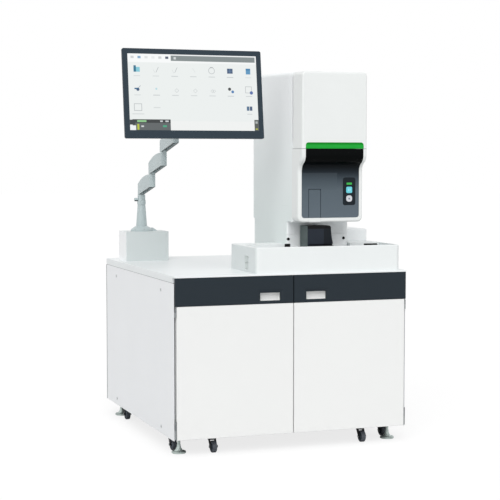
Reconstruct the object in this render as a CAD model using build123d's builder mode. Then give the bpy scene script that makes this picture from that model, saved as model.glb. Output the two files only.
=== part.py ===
from build123d import *
import os
from math import cos, radians, sin

# Hematology analyzer on its wheeled cabinet, in millimetres.
# X points right, Y points to the back and Z up. The origin is on the floor,
# under the centre of the cabinet.

os.makedirs("parts", exist_ok=True)

# Clearances
running_fit = 0.1      # between a pin and its bore, on the radius
rest_gap = 0.3         # between a moving piece and the face that carries it
panel_gap = 0.4        # between a panel and the opening that it fills

# Cabinet
cabinet_width = 1040
cabinet_depth = 1140
side_x = cabinet_width / 2
front_y = -cabinet_depth / 2
back_y = cabinet_depth / 2
base_height = 66
counter_height = 743
worktop_thickness = 28
worktop_lip = 7
worktop_corner = 6
side_sheet = 2
base_sheet = 3
rear_sheet = 2
rear_vent_height = counter_height - 223
rear_vent_rows = 8
rear_vent_pitch = 16
rear_vent_length = 260
rear_vent_width = 6
cable_hole_x = -130
cable_hole_height = 160
cable_hole_radius = 30
tube_size = 30
centre_post = 30
top_reveal = 2

# Doors
door_thickness = 26
door_to_frame = 3
door_split = 4
door_top_gap = 0.6
door_bottom_gap = 4
panel_side_gap = 10
fascia_side_gap = 3.5
fascia_height = 116
fascia_thickness = 14
fascia_seam = 1
door_edge = 1.5

# Door pulls
pull_width = 90
pull_height = 33
pull_from_split = 58
pull_from_bottom = 12
pull_slope = 12
pull_slope_depth = 4
pull_depth = 22

# Door hinges
hinge_inset = 6
hinge_setback = 4.5
knuckle_radius = 3.5
hinge_pin_radius = 1.8
knuckle_web = 3
hinge_plate = 2
upper_hinge_height = 40
lower_hinge_height = 74
hinge_end_gap = 3

# Castors
castor_wheel_radius = 25
castor_wheel_width = 20
castor_trail = 20
castor_axle_radius = 4
castor_cheek = 2.5
castor_cheek_gap = 1.5
castor_crown_radius = 18
castor_crown = 4.5
castor_plate_length = 60
castor_plate_width = 50
castor_plate_thickness = 3
castor_race = 6
kingpin_radius = 5
castor_outer_x = side_x - 40
castor_inner_x = side_x - 183
castor_front_y = front_y + 74
castor_side_y = front_y + 178
castor_rear_y = back_y - 209

# Levelling feet
foot_radius = 30
foot_disc = 9
foot_cone_radius = 19
foot_cone_top = 36
foot_stem_radius = 6.5
foot_stem_reach = 24
foot_socket_wall = 4
foot_socket_height = 28
foot_x_reach = side_x - 45
foot_front_y = front_y + 95
foot_rear_y = back_y - 104

# Quarter-turn studs of the side panels
stud_radius = 7
stud_proud = 1.5
stud_shank_radius = 3
stud_reach_y = back_y - 198
stud_heights = (base_height + 30, counter_height - 70)

# Pneumatic unit and diluent container inside the cabinet
pneumatic_width = side_x - 180
pneumatic_depth = 420
pneumatic_height = 360
fitting_radius = 9
fitting_reach = 16
fitting_pitch = 80
fitting_height = 90
container_size = 290
container_height = 330
container_neck_radius = 24
container_neck = 26
container_cap_radius = 30
container_cap = 22

# Sampler
sampler_left = -163
sampler_right = side_x - 27
sampler_front = front_y + 12
sampler_back = sampler_front + 330
sampler_height = 109
sampler_wall = 12
sampler_corner = 18
sampler_edge = 4
pool_depth = 40
deck_sheet = 3
lane_width = 26
rail_thickness = 4
rail_height = 12
rail_gap = 6
pusher_slot = 9
pusher_slot_depth = 10
pusher_blade = 6
pusher_above_wall = 4.5
feed_pusher_x = sampler_right - 113
feed_pusher_width = 62
feed_pusher_y = sampler_front + 55
exit_pusher_x = sampler_left + 195
exit_pusher_width = 24
exit_pusher_y = sampler_front + 146
pusher_travel = 90

# Power switch on the sampler's left side
switch_y = sampler_front + 120
switch_length = 46
switch_z_low = counter_height + 12
switch_segment = 28
switch_recess = 5
switch_pivot_radius = 2

# Dark station on the deck, in front of the lane
tower_left = 45
station_left = tower_left + 52
station_right_top = tower_left + 160
station_right_base = tower_left + 194
station_front = sampler_front + 78
station_top = counter_height + 192
station_corner = 10
station_slot_height = 8
station_slot_depth = 12
station_slot_margin = 6

# Measuring tower
tower_right = tower_left + 296
tower_front = sampler_front + 10
tower_setback = 46
tower_back = tower_front + 600
tower_foot_back = tower_front + 586
tower_foot_top = counter_height + 205
tower_body_front = tower_front + 118
overhang_height = counter_height + 208
neck_front = tower_front + 180
neck_wrap = tower_front + 228
neck_cover_thickness = 8
neck_right_corner = 36
neck_left_corner = 10
neck_seam_height = counter_height + 151
neck_seam = 0.6
cover_bottom = counter_height + 519
cover_top_front = counter_height + 841
cover_top_rise = 14
tower_corner = 16
vent_count = 9
vent_pitch = 16
vent_length = 200
vent_width = 6
vent_depth = 5
vent_height = counter_height + 657
inlet_width = 48
inlet_height = 28
inlet_depth = 14
inlet_z = counter_height + 57
tower_edge = 8
curve_top = counter_height + 493
curve_bottom = counter_height + 422

# Window in the front of the tower, and the dark panel in it
window_margin = 16
window_sill = 18
frame_corner = 22
window_corner = 13
frame_edge = 8
panel_recess = 3
panel_thickness = 6

# Upper cover
cover_wall = 4
cover_floor = 30
cover_hinge_radius = 8
cover_hinge_pin = 3
cover_lug_width = 14
cover_lug_inset = 50
cover_lug_radius = 7
cover_pin_reach = 12

# Green light bar
light_bar_height = 26
light_bar_depth = 9
light_bar_proud = 1
light_bar_corner = 12

# Tube holder
tube_door_left = tower_left + 50
tube_door_right = tower_left + 103
tube_door_top = counter_height + 347
tube_door_corner = 5
tube_door_gap = 0.6
tube_tray_length = 56
tube_tray_width = 34
tube_tray_thickness = 8
tube_cup_radius = 12
tube_cup_bore = 7.5
tube_cup_height = 58
tube_cup_setback = 26

# Button panel
button_panel_left = tower_left + 206
button_panel_width = 58
button_panel_bottom = counter_height + 279
button_panel_height = 118
button_panel_thickness = 3
button_panel_proud = 0.6
button_size = 28
button_x = tower_left + 235
start_button_z = counter_height + 344
mode_button_z = counter_height + 307
start_button_corner = 6
mode_button_corner = 11
button_proud = 1.6
button_gap = 0.5
button_length = 13

# Reagent cartridges behind the upper cover
cartridge_count = 5
cartridge_pitch = 52
cartridge_width = 42
cartridge_depth = 74
cartridge_height = 150
shelf_height = counter_height + 587
shelf_thickness = 6
shelf_depth = 92
cartridge_edge = 6

# Low block beside the tower
block_right = sampler_right - 5
block_top = counter_height + 161
block_edge = 10
block_gap = 1

# Monitor arm
arm_x = -side_x + 131
arm_y = back_y - 165
arm_box_left = -side_x + 37
arm_box_width = 206
arm_box_front = back_y - 235
arm_box_depth = 134
arm_box_height = 136
arm_box_wall = 2.5
arm_box_edge = 3
flange_radius = 52
flange_rim = 5
flange_dome = 19
lobe_offset = 42
lobe_length = 36
lobe_width = 27
lobe_height = 15
post_radius_low = 26
post_radius_high = 18
post_top = counter_height + 261
collar_radius = 20
collar_height = 46
collar_groove = 2
knob_radius = 8
knob_length = 16
link_count = 4
link_length = 188
link_width = 28
link_rise = 99
link_rear_height = 50
boss_height = 57
barrel_low = 40
link_channel_width = 15
link_channel_depth = 9
arm_pin_radius = 8
arm_pin_length = 32

# Monitor
monitor_x = arm_x - 6
monitor_y = arm_y - 851
monitor_z = counter_height + 744
monitor_width = 600
monitor_height = 370
monitor_tilt = 7.4
bezel_side = 22
bezel_bottom = 33
bezel_thickness = 12
bezel_corner = 7
screen_recess = 1
screen_gap = 0.2
shell_depth = 28
shell_back_width = 430
shell_back_height = 240
mount_plate = 110
mount_plate_thickness = 5
mount_lug_width = 12
mount_lug_radius = 13
tilt_axis_setback = 24
tilt_pin_radius = 5
yoke_width = 44
yoke_height = 24
yoke_neck_radius = 12
yoke_wall = 4
lug_clearance = 1

# Places worked out from the sizes above
castor_places = [
    (-castor_outer_x, castor_side_y),
    (castor_outer_x, castor_side_y),
    (-castor_inner_x, castor_front_y),
    (castor_inner_x, castor_front_y),
    (-castor_outer_x, castor_rear_y),
    (castor_outer_x, castor_rear_y),
]
foot_places = [
    (-foot_x_reach, foot_front_y),
    (foot_x_reach, foot_front_y),
    (-foot_x_reach, foot_rear_y),
    (foot_x_reach, foot_rear_y),
]
door_back_y = front_y + door_thickness
frame_front_y = door_back_y + door_to_frame
frame_back_y = back_y - rear_sheet
frame_bottom = base_height + base_sheet
frame_top = counter_height - worktop_thickness
lip_bottom = counter_height - worktop_lip
door_top = lip_bottom - door_top_gap
door_bottom = base_height + door_bottom_gap
fascia_bottom = door_top - fascia_height
panel_top = fascia_bottom - fascia_seam
hinge_x = side_x - hinge_inset
hinge_y = front_y + hinge_setback
tower_width = tower_right - tower_left
tower_x = (tower_left + tower_right) / 2
lower_front = tower_front + tower_setback
deck_top = counter_height + sampler_height - pool_depth + deck_sheet
sampler_top = counter_height + sampler_height
station_back = neck_front - rest_gap - lane_width
cover_top_slope = cover_top_rise / (tower_back - tower_front)
cover_hinge_y = tower_body_front - cover_hinge_radius - panel_gap


def top_of_tower(y):
    """Height of the tower's gently rising top at a distance y."""
    return cover_top_front + (y - tower_front) * cover_top_slope


cover_hinge_z = top_of_tower(cover_hinge_y) - cover_hinge_radius


def keep(piece, name):
    """Labels a finished piece and writes it under its name."""
    piece.part.label = name
    export_step(piece.part, f"parts/{name}.step")


# Worktop, a laminated slab with a thin lip over the doors
with BuildPart() as worktop:
    with BuildSketch(Plane.YZ):
        with BuildLine():
            Polyline(
                (front_y, counter_height),
                (back_y, counter_height),
                (back_y, frame_top),
                (frame_front_y, frame_top),
                (frame_front_y, lip_bottom),
                (front_y, lip_bottom),
                close=True,
            )
        make_face()
    extrude(amount=side_x, both=True)
    upright = worktop.edges().filter_by(Axis.Z).group_by(Axis.Y)
    fillet(upright[0] + upright[-1], worktop_corner)
    fillet(worktop.faces().sort_by(Axis.Z)[-1].edges(), 1.5)
keep(worktop, "worktop")

# Base pan with the threaded sockets of the levelling feet
with BuildPart() as base_pan:
    with BuildSketch(Plane.XY.offset(base_height)):
        with Locations((0, (frame_front_y + frame_back_y) / 2)):
            Rectangle(cabinet_width - 2 * side_sheet - 1, frame_back_y - frame_front_y)
    extrude(amount=base_sheet)
    with BuildSketch(Plane.XY.offset(frame_bottom)):
        with Locations(*foot_places):
            Circle(foot_stem_radius + foot_socket_wall)
    extrude(amount=foot_socket_height)
    with BuildSketch(Plane.XY.offset(base_height)):
        with Locations(*foot_places):
            Circle(foot_stem_radius + running_fit)
    extrude(amount=base_sheet + foot_socket_height, mode=Mode.SUBTRACT)
keep(base_pan, "base_pan")

# Cabinet frame of square tube, with the fixed halves of the lift-off hinges
frame_height = frame_top - frame_bottom
frame_mid_z = (frame_top + frame_bottom) / 2
frame_depth = frame_back_y - frame_front_y
frame_mid_y = (frame_front_y + frame_back_y) / 2
post_x = side_x - side_sheet - tube_size / 2
post_front_y = frame_front_y + tube_size / 2
post_back_y = frame_back_y - tube_size / 2
hinge_spans = [
    (panel_top - hinge_end_gap - upper_hinge_height, upper_hinge_height),
    (door_bottom + hinge_end_gap, lower_hinge_height),
]

with BuildPart() as cabinet_frame:
    post_spots = [(x, y, frame_mid_z) for x in (-post_x, post_x) for y in (post_front_y, post_back_y)]
    with Locations(*post_spots):
        Box(tube_size, tube_size, frame_height)
    with Locations((0, post_front_y, frame_mid_z), (0, post_back_y, frame_mid_z)):
        Box(centre_post, tube_size, frame_height)
    for rail_z in (frame_bottom + tube_size / 2, frame_top - tube_size / 2):
        with Locations((0, post_front_y, rail_z), (0, post_back_y, rail_z)):
            Box(2 * post_x, tube_size, tube_size)
        with Locations(*[(x, frame_mid_y, rail_z) for x in (-post_x, 0, post_x)]):
            Box(tube_size, frame_depth, tube_size)
    for side in (-1, 1):
        arm_outer = side_x - side_sheet - 0.5
        arm_inner = arm_outer - hinge_plate
        for span_bottom, span_height in hinge_spans:
            knuckle_height = span_height / 2
            knuckle_z = span_bottom + knuckle_height / 2
            plate_x = side * (arm_outer - tube_size / 2)
            web_x = side * (arm_outer + arm_inner) / 2
            with Locations((plate_x, frame_front_y - hinge_plate / 2, knuckle_z)):
                Box(tube_size, hinge_plate, knuckle_height)
            with Locations((web_x, (hinge_y + frame_front_y) / 2, knuckle_z)):
                Box(hinge_plate, frame_front_y - hinge_y, knuckle_height)
            with Locations((side * hinge_x, hinge_y, knuckle_z)):
                Cylinder(knuckle_radius, knuckle_height)
            pin_base = (Align.CENTER, Align.CENTER, Align.MIN)
            with Locations((side * hinge_x, hinge_y, span_bottom + knuckle_height)):
                Cylinder(hinge_pin_radius, knuckle_height - 2, align=pin_base)
keep(cabinet_frame, "cabinet_frame")

# Side panels of sheet, and the quarter-turn studs that hold them
side_panel_front = hinge_y + 7.5
side_panel_top = frame_top - top_reveal
for name, side in (("left_side_panel", -1), ("right_side_panel", 1)):
    with BuildPart() as side_panel:
        with BuildSketch(Plane.YZ.offset(side * (side_x - side_sheet / 2))):
            with Locations(((side_panel_front + back_y) / 2, (base_height + side_panel_top) / 2)):
                Rectangle(back_y - side_panel_front, side_panel_top - base_height)
            with Locations(*[(y, z) for y in (-stud_reach_y, stud_reach_y) for z in stud_heights]):
                Circle(stud_shank_radius + panel_gap, mode=Mode.SUBTRACT)
        extrude(amount=side_sheet / 2, both=True)
    keep(side_panel, name)

with BuildPart() as panel_studs:
    for side in (-1, 1):
        outward = Plane(origin=(side * side_x, 0, 0), x_dir=(0, side, 0), z_dir=(side, 0, 0))
        stud_spots = [(side * y, z) for y in (-stud_reach_y, stud_reach_y) for z in stud_heights]
        with BuildSketch(outward):
            with Locations(*stud_spots):
                Circle(stud_radius)
        extrude(amount=stud_proud)
        with BuildSketch(outward):
            with Locations(*stud_spots):
                Circle(stud_shank_radius)
        extrude(amount=-side_sheet)
keep(panel_studs, "panel_studs")

# Rear panel with two fields of cooling slots
with BuildPart() as rear_panel:
    with BuildSketch(Plane.XZ.offset(-back_y)):
        with Locations((0, (base_height + side_panel_top) / 2)):
            Rectangle(cabinet_width - 2 * side_sheet - 1, side_panel_top - base_height)
        with Locations((0, rear_vent_height)):
            with GridLocations(cabinet_width / 2, rear_vent_pitch, 2, rear_vent_rows):
                SlotOverall(rear_vent_length, rear_vent_width, mode=Mode.SUBTRACT)
        with Locations((cable_hole_x, cable_hole_height)):
            Circle(cable_hole_radius, mode=Mode.SUBTRACT)
    extrude(amount=rear_sheet)
keep(rear_panel, "rear_panel")

# Doors: a white panel, and a dark fascia with the pull on its upper part
door_parts = {"left": -1, "right": 1}
pull_x = pull_from_split + pull_width / 2
pull_z = fascia_bottom + pull_from_bottom + pull_height / 2
for hand, side in door_parts.items():
    panel_outer = side_x - panel_side_gap
    panel_inner = door_split / 2
    panel_width = panel_outer - panel_inner
    panel_x = side * (panel_outer + panel_inner) / 2
    with BuildPart() as door_panel:
        with BuildSketch(Plane.XZ.offset(-front_y)):
            with Locations((panel_x, (door_bottom + panel_top) / 2)):
                Rectangle(panel_width, panel_top - door_bottom)
        extrude(amount=-door_thickness)
        fillet(door_panel.faces().sort_by(Axis.Y)[0].edges(), door_edge)
        with BuildSketch(Plane.XZ.offset(-front_y - fascia_thickness)):
            with Locations((panel_x, (panel_top + door_top) / 2)):
                Rectangle(panel_width, door_top - panel_top)
        extrude(amount=fascia_thickness - door_thickness)
        with BuildSketch(Plane.XZ.offset(-front_y - fascia_thickness)):
            with Locations((side * pull_x, pull_z)):
                Rectangle(pull_width, pull_height)
        extrude(amount=fascia_thickness - pull_depth, mode=Mode.SUBTRACT)
        for span_bottom, span_height in hinge_spans:
            knuckle_height = span_height / 2 - rest_gap
            knuckle_z = span_bottom + span_height / 2 + rest_gap
            knuckle_base = (Align.CENTER, Align.CENTER, Align.MIN)
            with Locations((side * hinge_x, hinge_y, knuckle_z)):
                Cylinder(knuckle_radius, knuckle_height, align=knuckle_base)
            with Locations((side * (hinge_x + panel_outer) / 2, hinge_y, knuckle_z)):
                Box(hinge_x - panel_outer + 1, knuckle_web, knuckle_height, align=knuckle_base)
            with Locations((side * hinge_x, hinge_y, knuckle_z)):
                Cylinder(
                    hinge_pin_radius + running_fit, knuckle_height, align=knuckle_base, mode=Mode.SUBTRACT
                )
    keep(door_panel, f"{hand}_door_panel")

    fascia_outer = side_x - fascia_side_gap
    fascia_width = fascia_outer - panel_inner
    with BuildPart() as door_fascia:
        with BuildSketch(Plane.XZ.offset(-front_y)):
            with Locations((side * (fascia_outer + panel_inner) / 2, (fascia_bottom + door_top) / 2)):
                Rectangle(fascia_width, fascia_height)
        extrude(amount=-fascia_thickness)
        fillet(door_fascia.faces().sort_by(Axis.Y)[0].edges(), 1)
        with BuildSketch(Plane.XZ.offset(-front_y)):
            with Locations((side * pull_x, pull_z + pull_slope / 2)):
                Rectangle(pull_width + 2 * pull_slope, pull_height + pull_slope + 6)
        with BuildSketch(Plane.XZ.offset(-front_y - pull_slope_depth)):
            with Locations((side * pull_x, pull_z)):
                Rectangle(pull_width, pull_height)
        loft(mode=Mode.SUBTRACT)
        with BuildSketch(Plane.XZ.offset(-front_y)):
            with Locations((side * pull_x, pull_z)):
                Rectangle(pull_width, pull_height)
        extrude(amount=-fascia_thickness, mode=Mode.SUBTRACT)
    keep(door_fascia, f"{hand}_door_fascia")

# Castors: fixed swivel plates with kingpins, turning forks and wheels
plate_bottom = base_height - castor_plate_thickness
race_bottom = plate_bottom - castor_race
crown_top = race_bottom - rest_gap
crown_bottom = crown_top - castor_crown
cheek_x = castor_wheel_width / 2 + castor_cheek_gap

with BuildPart() as castor_plates:
    with BuildSketch(Plane.XY.offset(plate_bottom)):
        with Locations(*castor_places):
            RectangleRounded(castor_plate_width, castor_plate_length, 6)
    extrude(amount=castor_plate_thickness)
    with BuildSketch(Plane.XY.offset(race_bottom)):
        with Locations(*castor_places):
            Circle(castor_crown_radius)
    extrude(amount=castor_race)
    with BuildSketch(Plane.XY.offset(crown_bottom + 0.5)):
        with Locations(*castor_places):
            Circle(kingpin_radius)
    extrude(amount=race_bottom - crown_bottom)
keep(castor_plates, "castor_plates")

for number, (castor_x, castor_y) in enumerate(castor_places, start=1):
    axle_y = castor_y - castor_trail
    with BuildPart() as castor_fork:
        with BuildSketch(Plane.XY.offset(crown_bottom)):
            with Locations((castor_x, castor_y)):
                Circle(castor_crown_radius)
        extrude(amount=castor_crown)
        for side in (-1, 1):
            with BuildSketch(Plane.YZ.offset(castor_x + side * (cheek_x + castor_cheek / 2))):
                with Locations((axle_y, castor_wheel_radius)):
                    Circle(8)
                with Locations((castor_y - 2, crown_bottom + castor_crown / 2)):
                    Rectangle(22, castor_crown)
                make_hull()
            extrude(amount=castor_cheek / 2, both=True)
        with BuildSketch(Plane.YZ.offset(castor_x)):
            with Locations((axle_y, castor_wheel_radius)):
                Circle(castor_axle_radius)
        extrude(amount=cheek_x + castor_cheek + 1.5, both=True)
        with BuildSketch(Plane.XY.offset(crown_bottom)):
            with Locations((castor_x, castor_y)):
                Circle(kingpin_radius + running_fit)
        extrude(amount=castor_crown, mode=Mode.SUBTRACT)
    keep(castor_fork, f"castor_fork_{number}")

    with BuildPart() as castor_wheel:
        with BuildSketch(Plane.YZ.offset(castor_x)):
            with Locations((axle_y, castor_wheel_radius)):
                Circle(castor_wheel_radius)
        extrude(amount=castor_wheel_width / 2, both=True)
        fillet(castor_wheel.edges().filter_by(GeomType.CIRCLE), 4)
        for side in (-1, 1):
            with BuildSketch(Plane.YZ.offset(castor_x + side * (castor_wheel_width / 2 - 2))):
                with Locations((axle_y, castor_wheel_radius)):
                    Circle(castor_wheel_radius - 7)
                    Circle(castor_axle_radius + 4, mode=Mode.SUBTRACT)
            extrude(amount=side * 2, mode=Mode.SUBTRACT)
        with BuildSketch(Plane.YZ.offset(castor_x)):
            with Locations((axle_y, castor_wheel_radius)):
                Circle(castor_axle_radius + running_fit)
        extrude(amount=castor_wheel_width / 2, both=True, mode=Mode.SUBTRACT)
    keep(castor_wheel, f"castor_wheel_{number}")

# Levelling feet: a disc, a flared bell and a stem that screws into the base
for number, (foot_x, foot_y) in enumerate(foot_places, start=1):
    with BuildPart() as levelling_foot:
        with BuildSketch(Plane(origin=(foot_x, foot_y, 0), x_dir=(1, 0, 0), z_dir=(0, -1, 0))):
            with BuildLine():
                rim = Polyline(
                    (0, 0), (foot_radius - 1, 0), (foot_radius, 1), (foot_radius, foot_disc - 2),
                    (foot_radius - 3, foot_disc), (foot_cone_radius, foot_disc),
                )
                bell = ThreePointArc(
                    rim @ 1,
                    (foot_cone_radius * 0.62, foot_disc + (foot_cone_top - foot_disc) * 0.36),
                    (foot_stem_radius + 1, foot_cone_top),
                )
                Polyline(
                    bell @ 1,
                    (foot_stem_radius, foot_cone_top + 2),
                    (foot_stem_radius, frame_bottom + foot_stem_reach),
                    (0, frame_bottom + foot_stem_reach),
                    (0, 0),
                )
            make_face()
        revolve(axis=Axis((foot_x, foot_y, 0), (0, 0, 1)))
    keep(levelling_foot, f"levelling_foot_{number}")

# Pneumatic unit, standing on the base in the right compartment
with BuildPart() as pneumatic_unit:
    unit_x = cabinet_width / 4
    unit_y = post_back_y - tube_size - pneumatic_depth / 2
    with BuildSketch(Plane.XY.offset(frame_bottom)):
        with Locations((unit_x, unit_y)):
            RectangleRounded(pneumatic_width, pneumatic_depth, 12)
    extrude(amount=pneumatic_height)
    fillet(pneumatic_unit.faces().sort_by(Axis.Z)[-1].edges(), 5)
    with BuildSketch(Plane.XZ.offset(pneumatic_depth / 2 - unit_y)):
        with Locations((unit_x, frame_bottom + pneumatic_height * 0.66)):
            with GridLocations(0, 12, 1, 6):
                SlotOverall(200, 5)
    extrude(amount=-6, mode=Mode.SUBTRACT)
    with BuildSketch(Plane.XZ.offset(pneumatic_depth / 2 - unit_y)):
        with Locations((unit_x, frame_bottom + fitting_height)):
            with GridLocations(fitting_pitch, 0, 3, 1):
                Circle(fitting_radius)
    extrude(amount=fitting_reach)
keep(pneumatic_unit, "pneumatic_unit")

# Diluent container with its cap, standing on the base in the left compartment
with BuildPart() as diluent_container:
    tank_x = -cabinet_width / 4
    tank_y = frame_front_y + tube_size + 40 + container_size / 2
    with BuildSketch(Plane.XY.offset(frame_bottom)):
        with Locations((tank_x, tank_y)):
            RectangleRounded(container_size, container_size, 24)
    extrude(amount=container_height)
    fillet(diluent_container.faces().sort_by(Axis.Z)[-1].edges(), 16)
    with BuildSketch(Plane.XY.offset(frame_bottom + container_height)):
        with Locations((tank_x, tank_y)):
            Circle(container_neck_radius)
    extrude(amount=container_neck - container_cap)
    with BuildSketch(Plane.XY.offset(frame_bottom + container_height + container_neck - container_cap)):
        with Locations((tank_x, tank_y)):
            Circle(container_cap_radius)
    extrude(amount=container_cap)
keep(diluent_container, "diluent_container")

# Sampler housing, notched at the back for the tower's neck
sampler_width = sampler_right - sampler_left
sampler_x = (sampler_left + sampler_right) / 2
sampler_depth = sampler_back - sampler_front
sampler_y = (sampler_front + sampler_back) / 2
pool_left = sampler_left + sampler_wall
pool_right = sampler_right - sampler_wall
pool_front = sampler_front + sampler_wall
pool_floor = sampler_top - pool_depth
pool_x = (pool_left + pool_right) / 2
pool_y = (pool_front + neck_front) / 2
pusher_spots = [
    (feed_pusher_x, feed_pusher_y, pusher_travel),
    (exit_pusher_x, exit_pusher_y, -pusher_travel),
]

with BuildPart() as sampler_housing:
    with BuildSketch(Plane.XY.offset(counter_height)):
        with Locations((sampler_x, sampler_y)):
            Rectangle(sampler_width, sampler_depth)
    extrude(amount=sampler_height)
    fillet(sampler_housing.edges().filter_by(Axis.Z), sampler_corner)
    fillet(sampler_housing.faces().sort_by(Axis.Z)[-1].edges(), sampler_edge)
    with BuildSketch(Plane.XY.offset(counter_height)):
        with Locations((tower_x, (neck_front - rest_gap + sampler_back + 20) / 2)):
            Rectangle(tower_width + 2 * block_gap, sampler_back + 20 - neck_front + rest_gap)
    extrude(amount=sampler_height, mode=Mode.SUBTRACT)
    with BuildSketch(Plane.XY.offset(pool_floor)):
        with Locations((pool_x, pool_y)):
            Rectangle(pool_right - pool_left, neck_front - pool_front)
    extrude(amount=pool_depth, mode=Mode.SUBTRACT)
    with BuildSketch(Plane.XY.offset(pool_floor - pusher_slot_depth)):
        for pusher_x, pusher_y, travel in pusher_spots:
            with Locations((pusher_x, pusher_y + travel / 2)):
                Rectangle(pusher_slot, abs(travel) + pusher_blade + 6)
    extrude(amount=pusher_slot_depth, mode=Mode.SUBTRACT)
    with BuildSketch(Plane.YZ.offset(sampler_left)):
        with Locations((switch_y, switch_z_low + switch_segment)):
            RectangleRounded(switch_length, 2 * switch_segment, 4)
    extrude(amount=switch_recess, mode=Mode.SUBTRACT)
keep(sampler_housing, "sampler_housing")

# Sampler deck: the floor of both rack pools and the lane, with its guide rails
with BuildPart() as sampler_deck:
    with BuildSketch(Plane.XY.offset(pool_floor)):
        with Locations((pool_x, pool_y)):
            Rectangle(pool_right - pool_left - panel_gap, neck_front - pool_front - panel_gap)
        for pusher_x, pusher_y, travel in pusher_spots:
            with Locations((pusher_x, pusher_y + travel / 2)):
                Rectangle(pusher_slot, abs(travel) + pusher_blade + 6, mode=Mode.SUBTRACT)
    extrude(amount=deck_sheet)
    with BuildSketch(Plane.XY.offset(deck_top)):
        rail_y = (pool_front + station_back) / 2
        with Locations((station_left - rail_gap, rail_y), (station_right_base + rail_gap, rail_y)):
            Rectangle(rail_thickness, station_back - pool_front - rail_thickness)
    extrude(amount=rail_height)
keep(sampler_deck, "sampler_deck")

# Rack pushers: a blade above the deck with a foot in its slot
for name, pusher_x, pusher_y, blade_width in (
    ("feed_pusher", feed_pusher_x, feed_pusher_y, feed_pusher_width),
    ("exit_pusher", exit_pusher_x, exit_pusher_y, exit_pusher_width),
):
    with BuildPart() as pusher:
        with BuildSketch(Plane.XZ.offset(pusher_blade / 2 - pusher_y)):
            with BuildLine():
                Polyline(
                    (pusher_x - blade_width / 2, deck_top + rest_gap),
                    (pusher_x + blade_width / 2, deck_top + rest_gap),
                    (pusher_x + blade_width / 2, sampler_top + pusher_above_wall),
                    (pusher_x - blade_width / 2, sampler_top + pusher_above_wall),
                    close=True,
                )
            make_face()
        extrude(amount=-pusher_blade)
        fillet(pusher.faces().sort_by(Axis.Z)[-1].edges().filter_by(Axis.Y), 4)
        with BuildSketch(Plane.XY.offset(pool_floor - pusher_slot_depth + rest_gap)):
            with Locations((pusher_x, pusher_y)):
                Rectangle(pusher_slot - 2 * panel_gap, pusher_blade)
        extrude(amount=pusher_slot_depth + deck_sheet)
    keep(pusher, name)

# Power switch, a rocker in the upper half of the recess on the left side
rocker_z = switch_z_low + 1.5 * switch_segment
rocker_x = sampler_left + switch_recess - switch_pivot_radius - rest_gap
with BuildPart() as power_switch:
    with BuildSketch(Plane.XZ.offset(-switch_y)):
        with BuildLine():
            Polyline(
                (rocker_x + switch_pivot_radius * 0.5, rocker_z - 3),
                (rocker_x + switch_pivot_radius * 0.5, rocker_z + 3),
                (sampler_left + 1.4, rocker_z + switch_segment / 2 - 2),
                (sampler_left - 1.6, rocker_z + switch_segment / 2 - 2),
                (sampler_left + 0.4, rocker_z),
                (sampler_left + 0.6, rocker_z - switch_segment / 2 + 2),
                (sampler_left + 2, rocker_z - switch_segment / 2 + 2),
                close=True,
            )
        make_face()
    extrude(amount=(switch_length - 8) / 2, both=True)
    with BuildSketch(Plane.XZ.offset(-switch_y)):
        with Locations((rocker_x, rocker_z)):
            Circle(switch_pivot_radius)
    extrude(amount=(switch_length - 2 * rest_gap) / 2, both=True)
keep(power_switch, "power_switch")

# Dark station with a flared right flank and a slot along its foot
with BuildPart() as centre_station:
    with BuildSketch(Plane.XZ.offset(-station_front)):
        with BuildLine():
            Polyline(
                (station_right_base, deck_top),
                (station_left, deck_top),
                (station_left, station_top),
                (station_right_top - station_corner, station_top),
            )
            shoulder = RadiusArc(
                (station_right_top - station_corner, station_top),
                (station_right_top, station_top - station_corner),
                station_corner,
            )
            flank_middle = (station_right_top + 4, (deck_top + station_top) / 2 + 8)
            Spline(
                shoulder @ 1,
                flank_middle,
                (station_right_base, deck_top),
                tangents=((0, -1), (0.75, -0.66)),
            )
        make_face()
    extrude(amount=station_front - station_back)
    with BuildSketch(Plane.XZ.offset(-station_front)):
        with Locations(((station_left + station_right_base) / 2 - 4, sampler_top + 1)):
            Rectangle(station_right_base - station_left - 4 * station_slot_margin, station_slot_height)
    extrude(amount=-station_slot_depth, mode=Mode.SUBTRACT)
    fillet(centre_station.edges().filter_by(Axis.Z).group_by(Axis.X)[0].group_by(Axis.Y)[0], 2)
keep(centre_station, "centre_station")


def neck_outline(inset):
    """Adds the plan line of the neck's front, with its two rounded corners."""
    left = tower_left + inset
    right = tower_right - inset
    FilletPolyline(
        (left, neck_wrap),
        (left, neck_front + inset),
        (right, neck_front + inset),
        (right, neck_wrap),
        radius=[neck_left_corner - inset, neck_right_corner - inset],
    )
    Line((right, neck_wrap), (left, neck_wrap))


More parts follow.
